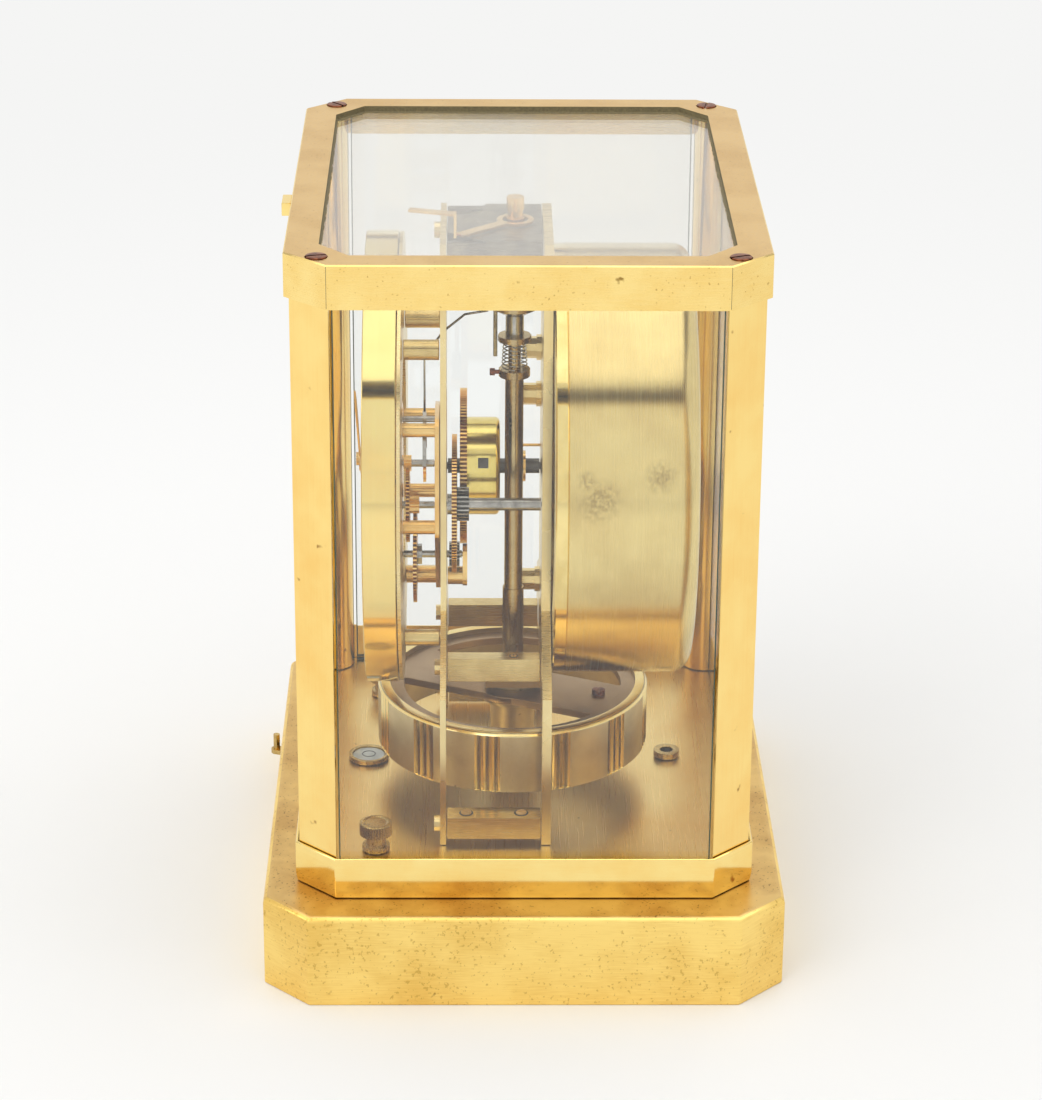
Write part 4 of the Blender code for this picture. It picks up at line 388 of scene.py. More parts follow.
def makeFlutedRim():
    # sweeps the incoming profile, a row of points in XZ, round Z and presses groups of scallops into its wall
    tree, add, given = newGroup("flutedRim", {"Steps": 1440, "Rows": 12, "Groups": 12, "Flutes": 3,
        "Group Share": 0.36, "Flute Depth": 0.0006, "Wall Radius": 0.045})
    known = {socket.name: socket for socket in given}

    def work(rows):
        # each row: a result's name, its operation, and its inputs by name or value
        for result, operation, *inputs in rows:
            numbered = {i: known.get(item, item) for i, item in enumerate(inputs)}
            known[result] = add("Math", {"operation": operation, **numbered})

    work([("columns", "ADD", "Steps", 1.0), ("lines", "ADD", "Rows", 1.0)])
    sheet = add("MeshGrid", {"Size X": 1.0, "Size Y": 1.0, "Vertices X": known["columns"],
        "Vertices Y": known["lines"]})
    spot = add("SeparateXYZ", {0: add("InputPosition")}).outputs
    work([("around", "ADD", spot["X"], 0.5), ("up", "ADD", spot["Y"], 0.5), ("upRows", "MULTIPLY", "up", "Rows"),
          ("nearRow", "ROUND", "upRows"), ("row", "MODULO", "nearRow", "Rows")])
    sample = add("SampleIndex", {"data_type": "FLOAT_VECTOR", "domain": "POINT",
        "Geometry": given["Geometry"], "Index": known["row"]})
    valueSocket = next(s for s in sample.inputs if s.name == "Value" and s.enabled)
    tree.links.new(add("InputPosition").outputs[0], valueSocket)
    profile = add("SeparateXYZ", {0: sample}).outputs
    work([("groupPlace", "MULTIPLY", "around", "Groups"), ("phase", "FRACT", "groupPlace"),
          ("inGroup", "LESS_THAN", "phase", "Group Share"), ("share", "DIVIDE", "phase", "Group Share"),
          ("flutePlace", "MULTIPLY", "share", "Flutes"), ("flute", "FRACT", "flutePlace"),
          ("double", "MULTIPLY", "flute", 2.0), ("signed", "SUBTRACT", "double", 1.0),
          ("off", "ABSOLUTE", "signed"), ("square", "POWER", "off", 2.0), ("bowl", "SUBTRACT", 1.0, "square"),
          ("wallFrom", "SUBTRACT", "Wall Radius", 0.00002), ("onWall", "GREATER_THAN", profile["X"], "wallFrom"),
          ("shape", "MULTIPLY", "bowl", "inGroup"), ("depth", "MULTIPLY", "onWall", "Flute Depth"),
          ("press", "MULTIPLY", "shape", "depth"), ("radius", "SUBTRACT", profile["X"], "press"),
          ("angle", "MULTIPLY", "around", 2 * math.pi), ("cosine", "COSINE", "angle"), ("sine", "SINE", "angle"),
          ("x", "MULTIPLY", "radius", "cosine"), ("y", "MULTIPLY", "radius", "sine")])
    place = add("CombineXYZ", {"X": known["x"], "Y": known["y"], "Z": profile["Z"]})
    bent = add("SetPosition", {"Geometry": sheet, "Position": place})
    closed = add("MergeByDistance", {"Distance": 0.000002, "Geometry": bent})
    return closeGroup(tree, given, closed)


repeatAround = makeRepeatAround()
repeatOnGrid = makeRepeatOnGrid()
spiralWire = makeSpiralWire()
flutedRim = makeFlutedRim()


def stoodRound(name, shape, count, radius, finish, skip=noSkip):
    # the repeatAround tree on one small mesh
    return runGroup(newPiece(name, shape), repeatAround, finish,
        {"Count": count, "Radius": radius * mm, "Skip Every": skip})


def faceAlongY(piece, x, z):
    # turns a mesh made round Z so that its axis runs along Y through (x, z), its +Z towards the dial's side
    shift(turnRound(piece.data, math.pi / 2, "X"), x, 0, z)
    return piece


print("helpers and node groups ready")


# Camera: solved from the case's edges in the photograph; place in metres, angles in radians

photoCamera = Sizes(place=(1.0652, -0.016439, 0.553457), yaw=0.015, pitch=0.393, roll=0.007,
    focalPixels=3488.321, imageHeight=1100, sensor=36.0, clipStart=0.05)


def makeCamera(p):
    yaw, pitch, roll = p.yaw, p.pitch, p.roll
    forward = Vector((-math.cos(pitch) * math.cos(yaw), math.cos(pitch) * math.sin(yaw), -math.sin(pitch)))
    level = Vector((math.sin(yaw), math.cos(yaw), 0)).normalized()
    upright = level.cross(forward)
    right = math.cos(roll) * level + math.sin(roll) * upright
    up = -math.sin(roll) * level + math.cos(roll) * upright
    turn = Matrix((right, up, -forward)).transposed().to_4x4()
    camera = bpy.data.objects.new("photoCamera", bpy.data.cameras.new("photoCamera"))
    camera.matrix_world = Matrix.Translation(p.place) @ turn
    camera.data.sensor_width = p.sensor
    camera.data.lens = p.focalPixels * p.sensor / p.imageHeight
    camera.data.clip_start = p.clipStart
    scene.collection.objects.link(camera)
    scene.camera = camera


makeCamera(photoCamera)


# Studio, in metres: a pale floor, an even white surround and soft lamps

studio = Sizes(
    backdropHex="#F5F5F4",
    mirroredHex="#F6F5F2",      # the tent that polished metal mirrors
    floorHex="#F2F2F1",
    floorSize=12.0,
    sweepStart=0.35,            # from the middle of the floor
    sweepEnd=1.1,
    worldStrength=0.80,
    lampTarget=(0, 0, 0.12),
    lamps=[("keyPanel", (1.3, -1.2, 1.7), 1.4, 12), ("topPanel", (-0.1, 0.2, 1.9), 1.8, 10)],
)


def makeWorld(p):
    scene.world = world = bpy.data.worlds.new("studioWorld")
    world.use_nodes = True
    world.node_tree.nodes.clear()
    add = partial(addNode, world.node_tree)
    rays = add("LightPath").outputs
    lit = add("Background", {"Color": (1, 1, 1, 1), "Strength": p.worldStrength})
    seen = add("Background", {"Color": hexLinear(p.backdropHex), "Strength": 1.0})
    mirrored = add("Background", {"Color": hexLinear(p.mirroredHex), "Strength": 1.0})
    plain = maths(add, "MAXIMUM", rays["Is Camera Ray"], rays["Is Transmission Ray"])
    first = add("MixShader", {0: rays["Is Glossy Ray"], 1: lit, 2: mirrored})
    mix = add("MixShader", {0: plain, 1: first, 2: seen})
    add("OutputWorld", {"Surface": mix})


def makeFloor(p):
    half = p.floorSize / 2
    mesh = bpy.data.meshes.new("studioFloor")
    mesh.from_pydata([(-half, -half, 0), (half, -half, 0), (half, half, 0), (-half, half, 0)], [],
        [(0, 1, 2, 3)])
    add, surface, place = newMaterial("paperBackdrop")   # matte seamless paper, keeps the soft shadow
    setNode(surface, {"Base Color": hexLinear(p.floorHex), "Roughness": 1.0, "Specular IOR Level": 0.0})
    # far from the clock the paper sweeps up into the even backdrop, for the camera alone
    reach = add("VectorMath", {"operation": "LENGTH", 0: place}).outputs["Value"]
    sweep = remap(add, reach, p.sweepStart, p.sweepEnd)
    seen = maths(add, "MULTIPLY", sweep, add("LightPath").outputs["Is Camera Ray"])
    even = add("Emission", {"Color": hexLinear(p.backdropHex), "Strength": 1.0})
    mixed = add("MixShader", {0: seen, 1: surface, 2: even})
    setNode(surface.id_data.nodes["Material Output"], {"Surface": mixed})
    newPiece("studioFloor", mesh, ["paperBackdrop"])


def makeLamps(p):
    for name, place, size, power in p.lamps:
        lamp = bpy.data.lights.new(name, "AREA")
        lamp.energy = power
        lamp.size = size
        holder = bpy.data.objects.new(name, lamp)
        holder.location = place
        aim = Vector(p.lampTarget) - Vector(place)
        holder.rotation_euler = aim.to_track_quat("-Z", "Y").to_euler()
        holder.visible_camera = False
        scene.collection.objects.link(holder)


makeWorld(studio)
makeFloor(studio)
makeLamps(studio)
print("camera and studio ready")


# Finishes: brass and its neighbours. A metal's two colours are what it reflects under white light.
# After them come its roughness, the size of its mottle, its grain (size along x, y, z, or along radius, axis
# and x where the finish is turned, then its share in the tone and its height), and what else it has:
# pit is colour, size, threshold and depth; spot is colour, size and threshold; groove is the colour of the painted
# shade in the flutes' hollows, centre x and y, and the radii where it is darkest and where it stops; smudges are a
# colour and places with their reach.

mixFactor, mixFrom, mixTo = 0, 6, 7      # the Mix node's inputs when it blends colours


def turnedPlace(add, place, axis, centre):
    # (radius, height along the axis, x) about an axis, for rings that run round it
    moved = add("VectorMath", {"operation": "SUBTRACT", 0: place, 1: [c * mm for c in centre]})
    parts = add("SeparateXYZ", {0: moved}).outputs
    across = {"Y": "Z", "Z": "Y"}[axis]
    flat = add("CombineXYZ", {"X": parts["X"], "Y": parts[across]})
    radius = add("VectorMath", {"operation": "LENGTH", 0: flat}).outputs["Value"]
    return add("CombineXYZ", {"X": radius, "Y": parts[axis], "Z": parts["X"]})


def metalFinish(name, light, dark, roughness, mottle, grain, grainTint, grainDepth, turned=None,
        anisotropic=None, pit=None, spot=None, groove=None, smudges=None):
    add, surface, place = newMaterial(name)

    def blended(colour, toHex, share):
        return add("Mix", {"data_type": "RGBA", mixFactor: share, mixFrom: colour, mixTo: hexLinear(toHex)})

    cloud = noise(add, place, mottle, 4.0, 0.55)
    stretched = add("VectorMath", {"operation": "MULTIPLY", 1: [perSize(g) for g in grain],
        0: turnedPlace(add, place, *turned) if turned else place})
    lines = add("TexNoise", {"Vector": stretched, "Scale": 1.0, "Detail": 2.0, "Roughness": 0.6})
    spread = remap(add, cloud, 0.32, 0.62)
    tint = remap(add, lines, 0.3, 0.7, -grainTint, grainTint)
    both = add("Math", {"operation": "ADD", "use_clamp": True, 0: spread, 1: tint})
    colour = blended(hexLinear(dark), light, both)
    height = maths(add, "MULTIPLY", lines, grainDepth)

    if pit:         # pinhead corrosion, thicker where the mottle is dark
        pitHex, size, edge, depth = pit
        pits = noise(add, place, size, 1.0)
        field = remap(add, cloud, 0.62, 0.42, -0.06, 0.03)
        raised = maths(add, "ADD", pits, field)
        hole = remap(add, raised, edge, edge + 0.07)
        faint = maths(add, "MULTIPLY", hole, 0.6)
        colour = blended(colour, pitHex, faint)
        deep = maths(add, "MULTIPLY", hole, -depth)
        height = maths(add, "ADD", height, deep)
    if spot:        # a few small stains
        spotHex, size, edge = spot
        stains = noise(add, place, size, 2.5, 0.7)
        stain = remap(add, stains, edge - 0.03, edge + 0.03, 0, 0.85)
        colour = blended(colour, spotHex, stain)
    if groove:      # painted shade darkens the bottoms of the flutes round the vertical axis, where their hollows fall into shadow
        grooveShadeHex, x, y, deep, clear = groove
        off = add("VectorMath", {"operation": "SUBTRACT", 0: place, 1: (x * mm, y * mm, 0)})
        flat = add("VectorMath", {"operation": "MULTIPLY", 0: off, 1: (1, 1, 0)})
        reach = add("VectorMath", {"operation": "LENGTH", 0: flat}).outputs["Value"]
        paintedShade = remap(add, reach, deep * mm, clear * mm, 0.85, 0.0)
        inRim = maths(add, "GREATER_THAN", reach, (deep - 0.1) * mm)
        share = maths(add, "MULTIPLY", paintedShade, inRim)
        colour = blended(colour, grooveShadeHex, share)
    if smudges:     # finger marks that have darkened, worn through by a fine skin
        smudgeHex, marks = smudges
        skin = noise(add, place, 1.6, 3.0, 0.7)
        worn = remap(add, skin, 0.38, 0.62, 0.12, 0.75)
        for x, y, z, reach in marks:
            off = add("VectorMath", {"operation": "DISTANCE", 0: place, 1: (x * mm, y * mm, z * mm)})
            wobble = maths(add, "MULTIPLY_ADD", cloud, reach * mm * 1.2, off.outputs["Value"])
            mark = remap(add, wobble, reach * mm * 1.9, reach * mm * 0.9, 0, 1.0)
            share = maths(add, "MULTIPLY", mark, worn)
            colour = blended(colour, smudgeHex, share)

    rough = remap(add, lines, 0.25, 0.75, roughness * 0.8, roughness * 1.25)
    bump = add("Bump", {"Strength": 1.0, "Distance": mm, "Height": height})
    setNode(surface, {"Base Color": colour, "Roughness": rough, "Normal": bump, "Metallic": 1.0})
    if anisotropic:     # blur along the axis, crisp round it
        tangent = add("Tangent", {"direction_type": "RADIAL", "axis": turned[0]})
        setNode(surface, {"Anisotropic": anisotropic, "Anisotropic Rotation": 0.25, "Tangent": tangent})


drumTurning, dialTurning, barrelTurning = ("Y", (0, 0, 144)), ("Y", (0, 0, 144.4)), ("Y", (-13, 0, 137))

# lacquered, buffed bar and sheet: clear mirror gold with a faint haze; the posts are drawn lengthways
metalFinish("lacqueredBrassBar", "#FFE596", "#FBD47C", 0.10, 26, (9, 9, 0.5), 0.10, 0.0006,
            spot=("#A86A2C", 9, 0.735))
metalFinish("lacqueredBrassPost", "#FFE08E", "#FBD07A", 0.15, 30, (0.35, 0.35, 30), 0.16, 0.0008,
            spot=("#9A7038", 7, 0.74))
# satin rolled base: lacquer gone, fine pits and soft horizontal grain, the ledge browner
metalFinish("satinBrassTarnished", "#FFDF86", "#EFC76B", 0.36, 30, (8, 8, 0.45), 0.30, 0.0020,
            pit=("#C79F4C", 1.1, 0.63, 0.014), spot=("#8F6A30", 6, 0.74))
metalFinish("satinBrassLedge", "#EAC67E", "#CFA562", 0.34, 26, (6, 6, 6), 0.25, 0.0010,
            pit=("#7E5B28", 0.9, 0.66, 0.012), spot=("#6B4A22", 4, 0.73))
# top frame: tan satin above, brighter round its sides
metalFinish("satinBrassTop", "#E7C485", "#DAB473", 0.33, 20, (1.2, 1.2, 1.2), 0.30, 0.0015,
            pit=("#A07C42", 0.8, 0.69, 0.008), spot=("#8A6430", 5, 0.76))
metalFinish("satinBrassSide", "#FFE293", "#F9D580", 0.27, 18, (7, 7, 0.5), 0.22, 0.0012,
            pit=("#B08A48", 0.9, 0.71, 0.006), spot=("#8E6A2A", 6, 0.74))
# floor plate: long-grained satin sheet
metalFinish("brushedBrassFloor", "#FFE096", "#F7CE7E", 0.30, 30, (40, 0.35, 1), 0.14, 0.0005,
            spot=("#8C6A38", 5, 0.755))
# drum: brushed in circles on the lathe, so that its highlights stretch along its axis; its band is polished
metalFinish("turnedBrassDrum", "#F3DC98", "#E0C583", 0.24, 26, (0.5, 0.16, 60), 0.26, 0.0006, drumTurning, 0.7,
            smudges=("#9A7C46", [(66, 22.9, 156.3, 6.0), (66, 41.2, 163.6, 5.0), (67, 18.4, 162.9, 3.0)]))
metalFinish("polishedBrassBand", "#FFE79C", "#EBCB78", 0.10, 16, (0.5, 0.3, 60), 0.14, 0.0006, drumTurning, 0.3)
# dial ring: the same turning, a little warmer
metalFinish("turnedBrassDial", "#FFE798", "#FDDB8A", 0.10, 30, (0.5, 0.3, 60), 0.20, 0.0006, dialTurning, 0.3,
            spot=("#8E7038", 6, 0.75))
# movement: brushed plates and blocks with a silky sheen, wheels fire-gilt, with painted shade in the gaps between
# their teeth
metalFinish("brushedBrassPlate", "#FFE8AA", "#F4D896", 0.28, 16, (0.4, 20, 20), 0.22, 0.0010)
metalFinish("brushedBrassBlock", "#EBD191", "#D6B978", 0.24, 9, (0.6, 12, 0.3), 0.34, 0.0014)
metalFinish("gildedWheelBrass", "#FFD88E", "#F2BF6E", 0.22, 14, (0.5, 0.5, 0.5), 0.10, 0.0006)
# painted shade: a dark brown standing for the shadow at the roots between the teeth
metalFinish("paintedShadeToothGap", "#9A6A3C", "#6A4626", 0.42, 3, (0.4, 0.4, 0.4), 0.2, 0.0008)
metalFinish("polishedBarrelBrass", "#FBE48A", "#EACD6C", 0.17, 14, (0.4, 0.3, 30), 0.12, 0.0005, barrelTurning, 0.2)
# pendulum: fine-blasted lands, grainy and dull, between polished flutes with painted shade in their hollows; its web
# browned, its rod bronzed
metalFinish("blastedPendulumBrass", "#EBD6A4", "#D6BD88", 0.40, 12, (0.28, 0.28, 0.28), 0.34, 0.0030,
            spot=("#8C7048", 3, 0.72))
metalFinish("polishedFluteBrass", "#FFE8A4", "#F8D688", 0.20, 12, (0.5, 0.5, 10), 0.10, 0.0004,
            groove=("#6A5228", 0.0, -3.0, 44.18, 44.50))
metalFinish("agedWebBrass", "#C2A37C", "#A88B6A", 0.32, 26, (0.4, 0.4, 0.4), 0.16, 0.0008)
metalFinish("agedTubeBronze", "#CDB684", "#B0976A", 0.24, 12, (0.6, 0.6, 0.25), 0.14, 0.0006,
            spot=("#E6D8AE", 1.3, 0.75))
metalFinish("agedKnurlBronze", "#D9BC7A", "#AE8E54", 0.28, 5, (0.4, 0.4, 0.4), 0.30, 0.0016)
# steel parts, grey and bright or blacked; the bridge is browned brass, the screws have coppered
metalFinish("polishedSteel", "#BDB9B2", "#8D8982", 0.17, 4, (0.2, 0.2, 3), 0.20, 0.0006)
metalFinish("blackedSteel", "#6C6862", "#45413C", 0.30, 4, (0.3, 0.3, 0.3), 0.2, 0.0008)
metalFinish("agedBridgeBrass", "#A4957C", "#6F6354", 0.30, 8, (0.4, 9, 0.4), 0.24, 0.0010)
metalFinish("copperedScrew", "#9A5E42", "#5E3424", 0.30, 1.6, (0.3, 0.3, 0.3), 0.35, 0.0020)


def plainFinish(name, lightHex, darkHex, roughness, mottle, metallic=0.0):
    # paint, putty or plastic with a slow change of tone
    add, surface, place = newMaterial(name)
    cloud = noise(add, place, mottle, 4.0)
    mix = add("Mix", {"data_type": "RGBA", mixFactor: cloud, mixFrom: hexLinear(darkHex),
        mixTo: hexLinear(lightHex)})
    rough = remap(add, cloud, 0, 1, roughness * 0.8, roughness * 1.2)
    setNode(surface, {"Base Color": mix, "Roughness": rough, "Metallic": metallic})


plainFinish("blackEnamelAndSinkShade", "#2A2620", "#14120F", 0.35, 2)                    # baked enamel, a soft black; round the block screws it is painted shade
plainFinish("agedWindowPutty", "#94855C", "#4C4634", 0.7, 0.7)                   # dry, crumbling, olive brown
plainFinish("matteGiltBar", "#EFC47C", "#DDAE66", 0.5, 6, metallic=0.35)         # fire-gilt, hardly a mirror
plainFinish("acrylicVialCap", "#E4E6E0", "#B9BFBA", 0.08, 3)                     # glossy, milky plastic
plainFinish("groundGlassEdge", "#51695A", "#33463B", 0.35, 6)   # dark green, because one looks along the pane
print("finishes ready")


# Glass: 2.5 mm float glass with eased edges; the panes let lamplight straight through

glassPanes = Sizes(
    ior=1.5,
    tintHex="#FBFCFB",
    edge=0.35,
    dustShare=0.13,     # a film of dust on the top pane scatters this share of the light
    dustHex="#F4F3EF",
    filmSize=18,
    paneArea=0.005,     # square metres; a smaller face belongs to the ground rim
)


def glassFinish(name, tintHex, dust, p):
    add, surface, place = newMaterial(name)
    film = noise(add, place, p.filmSize, 5.0)
    rough = remap(add, film, 0.55, 0.8, 0.0, 0.02)
    setNode(surface, {"Base Color": hexLinear(tintHex), "Roughness": rough, "IOR": p.ior,
        "Transmission Weight": 1.0 - dust})


glassFinish("clearFloatGlass", glassPanes.tintHex, 0.0, glassPanes)
glassFinish("dustyFloatGlass", glassPanes.dustHex, glassPanes.dustShare, glassPanes)

for node in ("side_glass_left", "side_glass_right", "rear_glass", "top_glass", "door_glass"):
    finish = "dustyFloatGlass" if node == "top_glass" else "clearFloatGlass"
    pane = refined(node, [finish, "groundGlassEdge"], glassPanes.edge,
        rule=lambda face: 0 if face.area > glassPanes.paneArea else 1)
    pane.visible_shadow = False
print("glass in place")


# Case

corners = ("front_left", "front_right", "rear_left", "rear_right")
puttyFrom = 237.8


def topOrSide(face):
    return 1 if face.normal.z > 0.9 else 0


def topFrameRule(face):
    # the window's inner wall above the pane is caked with old putty
    inward = face.normal.x * face.center.x + face.normal.y * face.center.y < 0
    return 2 if inward and abs(face.normal.z) < 0.3 and face.center.z > puttyFrom * mm else topOrSide(face)


refined("base_shell", ["satinBrassTarnished", "satinBrassLedge"], 0.5, 50, rule=topOrSide)
refineAll([("base_bottom_plate", "satinBrassLedge", 0.2), ("lower_frame", "lacqueredBrassBar", 0.3)])
refineAll([("corner_post_" + corner, "lacqueredBrassPost", 0.2) for corner in corners])
refined("top_frame", ["satinBrassSide", "satinBrassTop", "agedWindowPutty"], 0.35, rule=topFrameRule)

mitreSeams = Sizes(halfX=92.5, seamY=59.5, low=226.6, high=239.6, width=0.16, proud=0.03,
    sunk=0.27)


def makeMitreSeams(p):
    # fine dark lines where the frame's sides meet its corner pieces
    half = p.width / 2
    strip = block("mitreSeams", (p.halfX - p.sunk, -half, p.low),
                  (p.halfX + p.proud, half, p.high), 0.01)

    def fourTimes(bm):
        for turn in (0, math.pi):
            for side in (1, -1):
                bm.from_mesh(turnRound(shift(strip.copy(), y=side * p.seamY), turn, "Z"))

    mesh = reworked(bpy.data.meshes.new("mitreSeams"), fourTimes)
    placed(newPiece("mitreSeams", mesh, ["agedWindowPutty"]), "top_frame", stands=False)


makeMitreSeams(mitreSeams)
refineAll([("door_rail", "lacqueredBrassBar", 0.3), ("floor_plate", "brushedBrassFloor", 0),
           ("lock_lever", "agedKnurlBronze", 0.15)])

windowEdge = Sizes(halfX=82.8, halfY=62.35, cutX=11.0, cutY=9.2, low=237.71, high=238.25,
    lip=0.12, step=1.2, width=0.8, rag=0.22, seed=4)


def makeWindowEdge(p):
    # the ragged line of old putty between the top pane and the frame's window
    chance = random.Random(p.seed)
    outline = []
    for sx, sy in ((1, 1), (-1, 1), (-1, -1), (1, -1)):
        pair = [(sx * p.halfX, sy * (p.halfY - p.cutY)),
                (sx * (p.halfX - p.cutX), sy * p.halfY)]
        outline += pair if sx * sy > 0 else pair[::-1]
    points = []
    for i, start in enumerate(outline):
        end = outline[(i + 1) % len(outline)]
        steps = max(4, int(math.dist(start, end) / p.step))
        for step in range(steps):
            x, y = (start[k] + (end[k] - start[k]) * (step / steps) for k in (0, 1))
            inset = p.width + p.rag * (chance.random() * 2 - 1)
            inner = 1 - inset / math.hypot(x, y)
            points += [(x, y, p.low), (x, y, p.high), (x * inner, y * inner, p.low + p.lip),
                       (x * inner, y * inner, p.low)]
    count = len(points)
    faces = [(i + j, (i + 4) % count + j, (i + 4) % count + (j + 1) % 4, i + (j + 1) % 4)
             for i in range(0, count, 4) for j in range(4)]
    mesh = reworked(meshFrom("windowPutty", points, faces), outward)
    placed(newPiece("windowPutty", mesh, ["agedWindowPutty"]), "top_frame", stands=False)


makeWindowEdge(windowEdge)

frameScrews = Sizes(headRadius=3.25, top=240.5, under=239.1, shankRadius=1.5, foot=230.0,
    slot=(0.8, 0.7), dome=0.12, spreadX=168.4, spreadY=125.2, seed=7)


def makeFrameScrews(p):
    r, top = p.headRadius, p.top
    profile = [(0, top), (r * 0.7, top - p.dome * 0.3), (r, top - p.dome), (r, p.under),
               (p.shankRadius, p.under), (p.shankRadius, p.foot), (0, p.foot)]
    head = slottedHead("frameScrews", profile, r, top, p.slot, 48, 0.18)
    runGroup(head, repeatOnGrid, "copperedScrew", {"Width": p.spreadX * mm, "Depth": p.spreadY * mm,
        "Seed": p.seed})
    placed(head, "frame_screw_front_left")
    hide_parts(*("frame_screw_" + corner for corner in corners))


makeFrameScrews(frameScrews)
print("case finished")


# Dial ring, markers and minute marks

dial = Sizes(centre=(0, 144.4), outer=72.6, wall=2.0, front=-50.7, rear=-40.2, face=-49.9,
    faceBack=-48.5, inner=47.0, lip=1.4, lipRear=-46.5,
    markerRadius=58.8, marker=(11.8, 2.2, 0.6), markerSunk=0.2,
    minuteRadius=68.6, minute=(1.6, 0.32, 0.05), minuteSunk=0.1)


def makeDial(p):
    wallInner, lip = p.outer - p.wall, p.inner + p.lip
    profile = [(p.outer, p.rear), (p.outer, p.front), (wallInner, p.front),
               (wallInner, p.face), (p.inner, p.face), (p.inner, p.lipRear), (lip, p.lipRear),
               (lip, p.faceBack), (wallInner, p.faceBack), (wallInner, p.rear)]
    turned("dialRing", "dial_ring", profile, p.centre, "turnedBrassDial", "Y", 192, 0.4)
    length, width, rise = p.marker
    bar = block("hourMarkers", (-length / 2, -width / 2, 0), (length / 2, width / 2, rise + p.markerSunk), 0.18)
    markers = stoodRound("hourMarkers", bar, 12, p.markerRadius, "lacqueredBrassBar")
    shift(markers.data, z=-p.face - p.markerSunk)
    length, width, rise = p.minute
    tick = block("minuteMarks", (-length / 2, -width / 2, -p.minuteSunk), (length / 2, width / 2, rise), 0.02)
    ticks = stoodRound("minuteMarks", tick, 60, p.minuteRadius, "blackEnamelAndSinkShade", skip=5)
    shift(ticks.data, z=-p.face)
    for marks in (markers, ticks):
        placed(faceAlongY(marks, *p.centre), "dial_ring", stands=False)


def makePillar(node):
    low, high = (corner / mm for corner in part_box(node))
    radius = (high.x - low.x) / 2
    profile = [(0, low.y), (radius, low.y), (radius, high.y), (0, high.y)]
    centre = ((low.x + high.x) / 2, (low.z + high.z) / 2)
    turned(node + "_fine", node, profile, centre, "brushedBrassBlock", "Y", 64, 0.3)


makeDial(dial)
refineAll([("dial_backing", "brushedBrassPlate", 0), ("hour_hand", "gildedWheelBrass", 0.08),
           ("minute_hand", "gildedWheelBrass", 0.08)])
for end in ("upper_left", "upper_right", "lower_left", "lower_right"):
    makePillar("dial_pillar_" + end)
print("dial finished")


# Plates, blocks and the going train

refineAll([("front_plate", "brushedBrassPlate", 0.12), ("back_plate", "brushedBrassPlate", 0.12),
           ("foot_block_left", "brushedBrassBlock", 0.15), ("bridge_block_left", "brushedBrassBlock", 0.2),
           ("foot_block_right", "brushedBrassBlock", 0.15), ("bridge_block_right", "brushedBrassBlock", 0.2)])

blockScrews = Sizes(radius=1.75, sink=2.3, slot=(0.5, 0.4), foot=0.3, sinkBand=(0.06, 0.1), seed=3,
    # the top face that they stand on, how proud they are, their centre line and their scale
    footBlock=(41.8, 0.5, -9.5, 1.0), footSpread=(105.2, 17.8),
    bridgeBlock=(84.0, 0.2, -3.0, 0.6), bridgePlace=22.5)


def makeBlockScrews(p, which):
    face, proud, y, share = getattr(p, which + "Block")
    r, top, sink = p.radius * share, face + proud, p.sink * share
    head = slottedHead(which + "Screws", [(0, top), (r, top), (r, face - p.foot), (0, face - p.foot)],
        r, top, p.slot, 40, 0.15)
    (above, below), inner = p.sinkBand, r - 0.1
    # a black ring round each head, flush with the block: painted shade standing for the dark gap of its countersink
    ring = newPiece(which + "ScrewSinkShade", lathe(which + "ScrewSinkShade", [
        (sink, face + above), (sink, face - below), (inner, face - below), (inner, face + above)], steps=40, ease=0))
    for piece, finish in ((head, "matteGiltBar"), (ring, "blackEnamelAndSinkShade")):
        if which == "foot":
            width, depth = p.footSpread
            runGroup(piece, repeatOnGrid, finish, {"Width": width * mm, "Depth": depth * mm, "Seed": p.seed})
        else:
            # two of four places round the middle, turned so that one is on each block
            runGroup(piece, repeatAround, finish, {"Count": 4, "Radius": p.bridgePlace * mm, "Skip Every": 2})
            turnRound(piece.data, math.pi / 2, "Z")
        shift(piece.data, y=y)
        placed(piece, which + "_block_right", stands=False)


makeBlockScrews(blockScrews, "foot")
makeBlockScrews(blockScrews, "bridge")
refineAll([("suspension_bridge", "agedBridgeBrass", 0.15), ("third_wheel_cock", "gildedWheelBrass", 0.1),
           ("sub_plate_front", "gildedWheelBrass", 0.08), ("sub_plate_rear", "gildedWheelBrass", 0.08)])

# The wheels' teeth, a little over a millimetre apart so that they show; the counts keep the CAD train's ratios.
# Each row: centre x and z, radius below which the steel begins, and rims of
# (y low, y high, CAD root from, CAD tip to, pitch radius, teeth).
trainWheels = {
    "intermediate_wheel": (17.318, 135.411, 5.6, [(-23.1, -21.5, 20.0, 23.4, 22.2, 120),
                                                  (-21.5, -17.6, 3.8, 5.9, 5.06, 24)]),
    "third_wheel": (4.761, 112.758, 4.2, [(-35.8, -34.6, 14.6, 16.2, 15.5, 72),
                                          (-24.1, -20.7, 2.9, 4.3, 3.7, 20)]),
    "fourth_wheel": (6.337, 130.772, 1.6, [(-38.1, -36.9, 11.2, 12.4, 11.8, 60)]),
    "escape_wheel": (5.226, 144.889, 2.0, []),
    "mainspring_barrel": (-13.0, 137.0, 0.0, [(-20.6, -18.3, 24.0, 26.3, 25.3, 120)]),
}
# band: how far the painted shade reaches either side of the tooth roots
teeth = Sizes(above=0.42, below=0.55, sunk=0.1, rootShare=0.60, tipShare=0.42, band=0.12)


